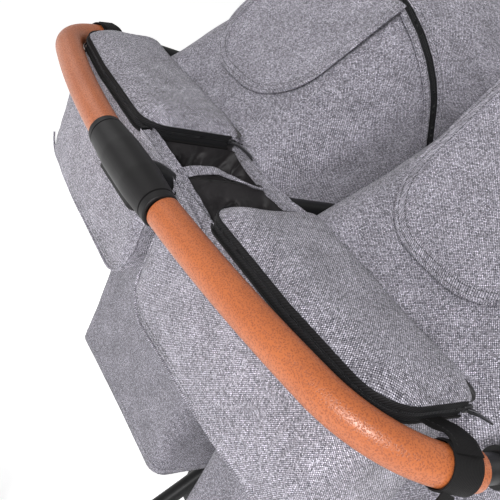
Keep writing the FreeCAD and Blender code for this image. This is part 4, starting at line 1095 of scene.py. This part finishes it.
def canopy_flap(word, side):
    """The U-shaped flap over the window, with its wide double-stitched hem."""
    length = math.dist(HOOP_TOP, (BASE_AHEAD, BASE_BELOW)) - 12
    low, half, curve = 67.0, 92.0, 74.0
    edge = []
    for step in range(15):
        angle = math.pi / 2 * step / 14
        edge.append((half - curve + curve * math.sin(angle), low + curve * (1 - math.cos(angle))))
    for share in shares(19)[1:]:
        edge.append((half + 8 * share, low + curve + (length - low - curve) * share))

    def lift_at(a, b, reach):
        puff = 2.6 + 1.5 * wobble((a * MM, b * MM, side), 0.06, 2.0)
        return puff + 1.2 * smooth_step(0.75, 1.0, reach)

    rows, planar = [], []
    for wide, b in edge:
        spots = [wide * (2 * share - 1) for share in shares(61)]
        rows.append([slope_point(side, a, b, lift_at(a, b, abs(a) / wide)) for a in spots])
        planar.append([(a * MM, b * MM) for a in spots])
    name = f"canopy_flap_{word}"
    sheet = grid_object(name, rows, [FINISH["fabric_grey"]], crease=80, planar=np.array(planar))
    thicken(sheet, 1.6, offset=0.0)
    keep(sheet, "chassis")
    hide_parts("canopy_flaps")
    outline = [(-w, b) for w, b in edge[::-1]] + edge
    spots = resample(outline, 220)
    run = np.gradient(spots, axis=0)
    run /= np.linalg.norm(run, axis=1)[:, None]
    normal = (slope_point(side, 0, 100, 10) - slope_point(side, 0, 100, 0)).normalized()

    def hem_row(inset, lift):
        line = []
        for (a, b), (ra, rb) in zip(spots, run):
            a2, b2 = a - rb * inset, b + ra * inset
            line.append(slope_point(side, a2, b2, lift_at(a2, b2, 1.0) + lift))
        return line

    sign = 1 if (hem_row(8, 0)[110] - hem_row(0, 0)[110]).z > 0 else -1
    trim(f"flap_hem_{word}", hem_row(5.5 * sign, 0.9), band(11, 1.7), "fabric_grey", [normal] * 220)
    trim(f"flap_edge_{word}", hem_row(-0.2 * sign, 0.5), circle(1.4), "fabric_grey")
    for index, inset in enumerate((2.6, 8.6)):
        stitches(f"flap_stitches_{word}_{index}", hem_row(inset * sign, 1.95),
                 [normal] * len(spots))


# ---------------------------------------------------------------- seats

TUB_RIM = [(212, 988), (469, 917), (545, 800), (650, 660), (858, 626)]


def tub_top(ahead):
    """Height of the seat wall's upper edge, softened at the bends of its outline."""
    spread = np.linspace(ahead - 26, ahead + 26, 9)
    return float(np.mean(np.interp(spread, *zip(*TUB_RIM))))


def seat_tub(word, side):
    """The cloth tub of one seat: head wall and two sides in one folded sheet, bound along the top."""
    low, inner, outer, head, front = 551.0, 32.4, 323.6, 213.4, 856
    plan = rounded_line([(inner, front, 0), (inner, head, 20), (outer, head, 20), (outer, front, 0)])
    plan = resample(plan, 230)
    rows = []
    for share in shares(46):
        row = []
        for x, ahead in plan:
            top = tub_top(ahead) + 12 * smooth_step(490, 440, ahead)
            height = low + (top - low) * share
            inward = 3.2 * smooth_step(0.9, 1.0, share) * smooth_step(490, 440, ahead)
            slack = 2.0 * math.sin(math.pi * share) * (1 if 60 < x < 300 or ahead > 260 else 0.3)
            cx = x + (inward - slack * 0.4) * (1 if x < 100 else -1 if x > 250 else 0)
            ca = ahead + (inward + slack * 0.5) * (1 if ahead < 230 else 0)
            row.append(at(side * cx, ca, GRIP.z / MM - height))
        rows.append(row)
    rows = lift_rows(rows, 2.4, 130, 4.0 + side)
    rows = lift_rows(rows, 0.8, 36, 9.0 + side)
    tub = cloth(f"seat_cloth_{word}", rows, [FINISH["fabric_dark"]], 2.2, flip=side < 0, crease=70)
    keep(tub, "chassis")
    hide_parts(f"seat_tub_{word}")
    rim = resample(rows[-1], 260)
    trim(f"seat_binding_{word}", rim, band_up(10, 3.4), "webbing", [UP] * 260)
    hem = resample(rows[1], 260)
    trim(f"seat_hem_{word}", hem, circle(1.8), "fabric_dark")
    for index, pick in enumerate((59, 66)):
        column = [np.array(row[pick]) for row in rows[2:44]]
        face = np.array((0, 1.0, 0)) if pick == 66 else np.array((-side, 0.3, 0))
        line = [Vector(p + face * 1.3 * MM) for p in column]
        stitches(f"seat_seam_{word}_{index}", line, [Vector(face)] * len(line))


def rounded_spot(u, v, half_wide, half_long, radius):
    """Maps a square grid onto a rectangle with round corners; also the gap to its outline."""
    x, y = abs(u) * half_wide, abs(v) * half_long
    a, b = (x - half_wide + radius) / radius, (y - half_long + radius) / radius
    if a > 0 and b > 0:
        a, b = a * math.sqrt(1 - b * b / 2), b * math.sqrt(1 - a * a / 2)
        x, y = half_wide - radius + radius * a, half_long - radius + radius * b
        gap = radius - math.hypot(a, b) * radius
    else:
        gap = min(half_wide - x, half_long - y)
    return math.copysign(x, u), math.copysign(y, v), max(gap, 0.0)


def cushion(name, low, high, channels, place, body, radius=22):
    """A stuffed pad with a crowned, quilted top, its piping and its stitches, all on one body.

    low and high are corners in metres, turned by place; channels are the lines of quilting.
    """
    wide, long, thick = ((high[k] - low[k]) / MM for k in range(3))
    crown, groove = 5.5, 4.6
    nx, ny = max(int(wide / 4.2), 10), max(int(long / 3.2), 10)
    middle = (Vector(low) + Vector(high)) / 2
    verts, faces, uvs = [], [], []
    for layer in (1, -1):
        for j in range(ny + 1):
            for i in range(nx + 1):
                u, v = 2 * i / nx - 1, 2 * j / ny - 1
                x, y, gap = rounded_spot(u, v, wide / 2, long / 2, radius)
                edge = min(gap / 13.0, 1.0)
                height = thick / 2 * math.sqrt(max(1 - (1 - edge) ** 2, 0))
                if layer > 0:
                    height += crown * (1 - u * u) * (1 - v * v) * edge - 1.0
                    for line in channels:
                        height -= groove * math.exp(-((y - line) / 5.0) ** 2) * min(gap / 20, 1)
                    height += 1.1 * wobble((x * MM, y * MM, 0.1), 0.04, 2.0) * edge
                    height += 0.5 * wobble((x * MM, y * MM, 0.3), 0.012, 4.0) * edge
                verts.append(Vector((x, y, layer * height)) * MM)
    row, sheet = nx + 1, (nx + 1) * (ny + 1)
    for layer in (0, 1):
        for j in range(ny):
            for i in range(nx):
                base = layer * sheet + j * row + i
                face = (base, base + 1, base + row + 1, base + row)
                face = face if layer == 0 else face[::-1]
                faces.append(face)
                uvs += [(verts[k].x, verts[k].y) for k in face]
    piece = weld(mesh_object(name, verts, faces, uvs, [FINISH["pad_fabric"]], crease=85), 2e-5)
    place = place @ Matrix.Translation(middle)
    piece.data.transform(place)
    outline = []
    for step in range(200):
        angle = 2 * math.pi * step / 200
        u, v = math.cos(angle), math.sin(angle)
        size = max(abs(u), abs(v))
        x, y, _ = rounded_spot(u / size, v / size, wide / 2, long / 2, radius)
        outline.append(place @ (Vector((x, y, 0)) * MM))
    piping = sweep(f"{name}_piping", resample(outline, 220, closed=True), circle(2.0),
                   [FINISH["fabric_dark"]], closed=True)
    parts = [piece, piping]
    up = (place.to_3x3() @ UP).normalized()
    for number, line in enumerate(channels):
        spots = []
        for share in shares(60):
            x = (wide / 2 - 16) * (2 * share - 1)
            u, v = x / (wide / 2), line / (long / 2)
            height = thick / 2 + crown * (1 - u * u) * (1 - v * v) - 5.2
            spots.append(place @ (Vector((x, line, height)) * MM))
        parts.append(beads(f"{name}_stitches_{number}", spots, [THREAD], 4.0, (2.8, 0.8, 0.7),
                           ups=[up] * 60))
    for part in parts:
        keep(part, body)
    return piece


def seat_pads():
    still = Matrix.Identity(4)
    for word in ("left", "right"):
        low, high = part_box(f"backrest_pad_{word}")
        back = cushion(f"backrest_cushion_{word}", low, high, (-150, -75, 0, 75), still,
                       f"backrest_{word}")
        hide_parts(f"backrest_pad_{word}")
        both_low, both_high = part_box("seat_pads")
        seat_low = Vector((min(low.x, high.x), both_low.y, both_low.z))
        seat_high = Vector((max(low.x, high.x), both_high.y, both_high.z))
        seat = cushion(f"seat_cushion_{word}", seat_low, seat_high, (-55, 20), still, "chassis")
        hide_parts("seat_pads")
        calf_low, calf_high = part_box(f"calf_rest_{word}")
        tilt = math.radians(74)
        length, thick, hinge_ahead, hinge_height = 171.0, 20.0, 888, 566
        hinge = Vector((0, GRIP.y - hinge_ahead * MM, hinge_height * MM))
        along = Vector((0, -math.cos(tilt), -math.sin(tilt)))
        out = Vector((0, -math.sin(tilt), math.cos(tilt)))
        turn = Matrix((Vector((1, 0, 0)), along * -1, out)).transposed().to_4x4()
        centre = Vector(((calf_low.x + calf_high.x) / 2, hinge.y, hinge.z))
        centre += along * (length / 2 - 6) * MM - out * (thick / 2) * MM
        span = (calf_high.x - calf_low.x) / 2
        half = Vector((span, length / 2 * MM, thick / 2 * MM))
        place = Matrix.Translation(centre) @ turn
        calf = cushion(f"calf_cushion_{word}", -half, half, (-30, 30), place, f"calf_rest_{word}",
                       radius=16)
        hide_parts(f"calf_rest_{word}")


def harness(word, side):
    """Shoulder straps with pads and sliders, and the crotch strap with the buckle's prongs."""
    middle, top = side * SEAT_MIDDLE, 590.0
    depth_of = GRIP.z / MM
    for index, shift in enumerate((-48, 48)):
        spots = [(330, -14), (345, 1), (380, 7), (440, 8), (520, 8.5), (580, 6), (614, 3)]
        path = [at(middle + shift, ahead, depth_of - top - lift) for ahead, lift in spots]
        line = spline(path, 70)
        strap = trim(f"shoulder_strap_{word}_{index}", line, band(24, 2.0), "webbing", [UP] * 70,
                     f"backrest_{word}")
        if index == 0:
            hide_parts(f"harness_{word}")
        low = at(middle + shift - 23, 520, depth_of - top - 6)
        high = at(middle + shift + 23, 382, depth_of - top - 19)
        corner_low, corner_high = Vector(map(min, low, high)), Vector(map(max, low, high))
        pad = cushion(f"shoulder_pad_{word}_{index}", corner_low, corner_high, (),
                      Matrix.Identity(4), f"backrest_{word}", radius=12)
        slide = rounded_box(f"strap_slider_{word}_{index}", (32, 17, 4.5), 1.6,
                            [FINISH["black_plastic"]], at(middle + shift, 552, depth_of - top - 11))
        keep(slide, f"backrest_{word}")
    line = spline([at(middle, 652, depth_of - top + 6), at(middle, 664, depth_of - top - 3),
                   at(middle, 700, depth_of - top - 5), at(middle, 730, depth_of - top - 4)], 30)
    trim(f"crotch_strap_{word}", line, band(24, 2.4), "webbing", [UP] * 30)
    for way in (-1, 1):
        prong = rounded_box(f"buckle_prong_{word}_{'in' if way < 0 else 'out'}", (20, 26, 7), 2.4,
                            [FINISH["black_plastic"]], at(middle + way * 30, 685, depth_of - 599))
        keep(prong, "chassis")


# ---------------------------------------------------------------- basket, wheels


def basket_cloth():
    """The basket cloth, shaped as if it hung from its wire rim, and the binding over the rim."""
    half, back, front, corner = 285, 484, 760, 60
    middle, floor, top = (back + front) / 2, 205, 401
    rim = rounded_loop([(-half, back, corner), (half, back, corner), (half, front, corner),
                        (-half, front, corner)], 220)
    depth_of = GRIP.z / MM
    rows = []
    for share in shares(40):
        row = []
        for x, y in rim:
            if share < 0.55:
                down = share / 0.55
                height = top - (top - floor) * down
                inset = 5 * math.sin(math.pi * down) + 9 * down ** 2
                spot = Vector((x, y)).lerp(Vector((0, middle)), inset / 200)
            else:
                inward = (share - 0.55) / 0.45
                edge = Vector((x, y)).lerp(Vector((0, middle)), 9 / 200 + 0.02 * min(inward * 6, 1))
                spot = edge.lerp(Vector((min(max(x, -160), 160), middle)), inward)
                height = floor - 11 * smooth_step(0, 0.12, inward) - 3 * smooth_step(0.1, 1, inward)
            row.append(at(spot.x, spot.y, depth_of - height))
        rows.append(row)
    rows = lift_rows(rows, 3.5, 110, 2.0)
    net = cloth("basket_net", rows, [FINISH["basket_mesh"]], 1.6, wrap=True, crease=70)
    keep(net, "chassis")
    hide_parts("basket")
    line = [at(x, y, depth_of - top - 1) for x, y in rim]
    trim("basket_binding", line, band_up(16, 11), "webbing", [UP] * len(line), closed=True)


def tyre_treads():
    """Rows of low tread blocks round each tyre."""
    for place in ("rear", "front"):
        for word in ("left", "right"):
            low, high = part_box(f"{place}_{word}_tyre")
            centre, radius = (low + high) / 2, (high.z - low.z) / 2
            width = (high.x - low.x) / MM
            pieces = []
            for index, shift in enumerate((-0.21, 0.0, 0.21)):
                path, ups = [], []
                for step in range(240):
                    angle = 2 * math.pi * (step + index * 1.5) / 240
                    out = Vector((0, math.cos(angle), math.sin(angle)))
                    drop = 0.35 + abs(shift) * 6
                    path.append(centre + Vector((shift * width * MM, 0, 0)) + out * (radius - drop * MM))
                    ups.append(out)
                pieces.append(beads(f"tread_{place}_{word}_{index}", path, [FINISH["tyre"]], 8.5,
                                    (5.6, width * 0.17, 1.5), ups=ups))
            tread = join(f"tread_{place}_{word}", pieces)
            keep(tread, f"{place}_wheel_{word}")


# ---------------------------------------------------------------- stage


def studio():
    """A pale floor, three soft lamps and a camera that looks down over the handle."""
    floor = mesh_object("floor", [(-40, -40, 0), (40, -40, 0), (40, 40, 0), (-40, 40, 0)], [(0, 1, 2, 3)])
    paper = Surface("floor_paper", (0.93, 0.93, 0.93), 0.9)
    grain = paper.noise(paper.coordinates("Object", 60.0), 3.0)
    paper.bump(grain, 0.05 * MM, 0.1)
    paper.shader.inputs["Emission Color"].default_value = (1, 1, 1, 1)
    paper.shader.inputs["Emission Strength"].default_value = 0.6
    floor.data.materials.append(paper.material)
    world = bpy.data.worlds.new("studio")
    bpy.context.scene.world = world
    world.use_nodes = True
    world.node_tree.nodes["Background"].inputs["Color"].default_value = (1, 1, 1, 1)
    world.node_tree.nodes["Background"].inputs["Strength"].default_value = 0.4
    target = at(0, 150, 60)
    for name, spot, size, power in (
        ("key", Vector((-1.7, 2.2, 2.3)), 1.0, 70),
        ("fill", Vector((2.4, 1.2, 2.2)), 1.8, 9),
        ("front", Vector((-1.0, -3.0, 2.6)), 2.6, 14),
    ):
        lamp = bpy.data.lights.new(name, "AREA")
        lamp.shape, lamp.size, lamp.energy = "DISK", size, power
        holder = bpy.data.objects.new(name, lamp)
        holder.location = spot
        holder.rotation_mode = "QUATERNION"
        holder.rotation_quaternion = (target - spot).to_track_quat("-Z", "Y")
        bpy.context.scene.collection.objects.link(holder)
    eye = bpy.data.cameras.new("camera")
    eye.lens, eye.sensor_width = 55.2, 36.0
    eye.clip_start = 0.05
    camera = bpy.data.objects.new("camera", eye)
    # The photograph's view: which way its right and its up point, and where it stands.
    right, up = Vector((-0.463, -0.798, 0.384)), Vector((0.597, 0.039, 0.801))
    from_grip = Vector((-0.5195, 0.3111, 0.2844))
    right.normalize()
    up = (up - right * up.dot(right)).normalized()
    back = right.cross(up)
    turn = Matrix((right, up, back)).transposed().to_4x4()
    camera.matrix_world = Matrix.Translation(GRIP + from_grip) @ turn
    bpy.context.scene.collection.objects.link(camera)
    bpy.context.scene.camera = camera
    bpy.context.scene.view_settings.view_transform = "Standard"


def main():
    clear_defaults()
    dress_cad_nodes()
    handle_dress()
    grip_seams()
    for word, side in SIDES:
        organiser_bag(word, side)
        lid_cloth(word, side)
        lid_zip(word, side)
        cup_lining(word, side)
        pouch_lining(word, side)
        canopy_cloth(word, side)
        canopy_zip(word, side)
        canopy_flap(word, side)
        seat_tub(word, side)
        harness(word, side)
    organiser_middle()
    seat_pads()
    basket_cloth()
    tyre_treads()
    studio()


main()
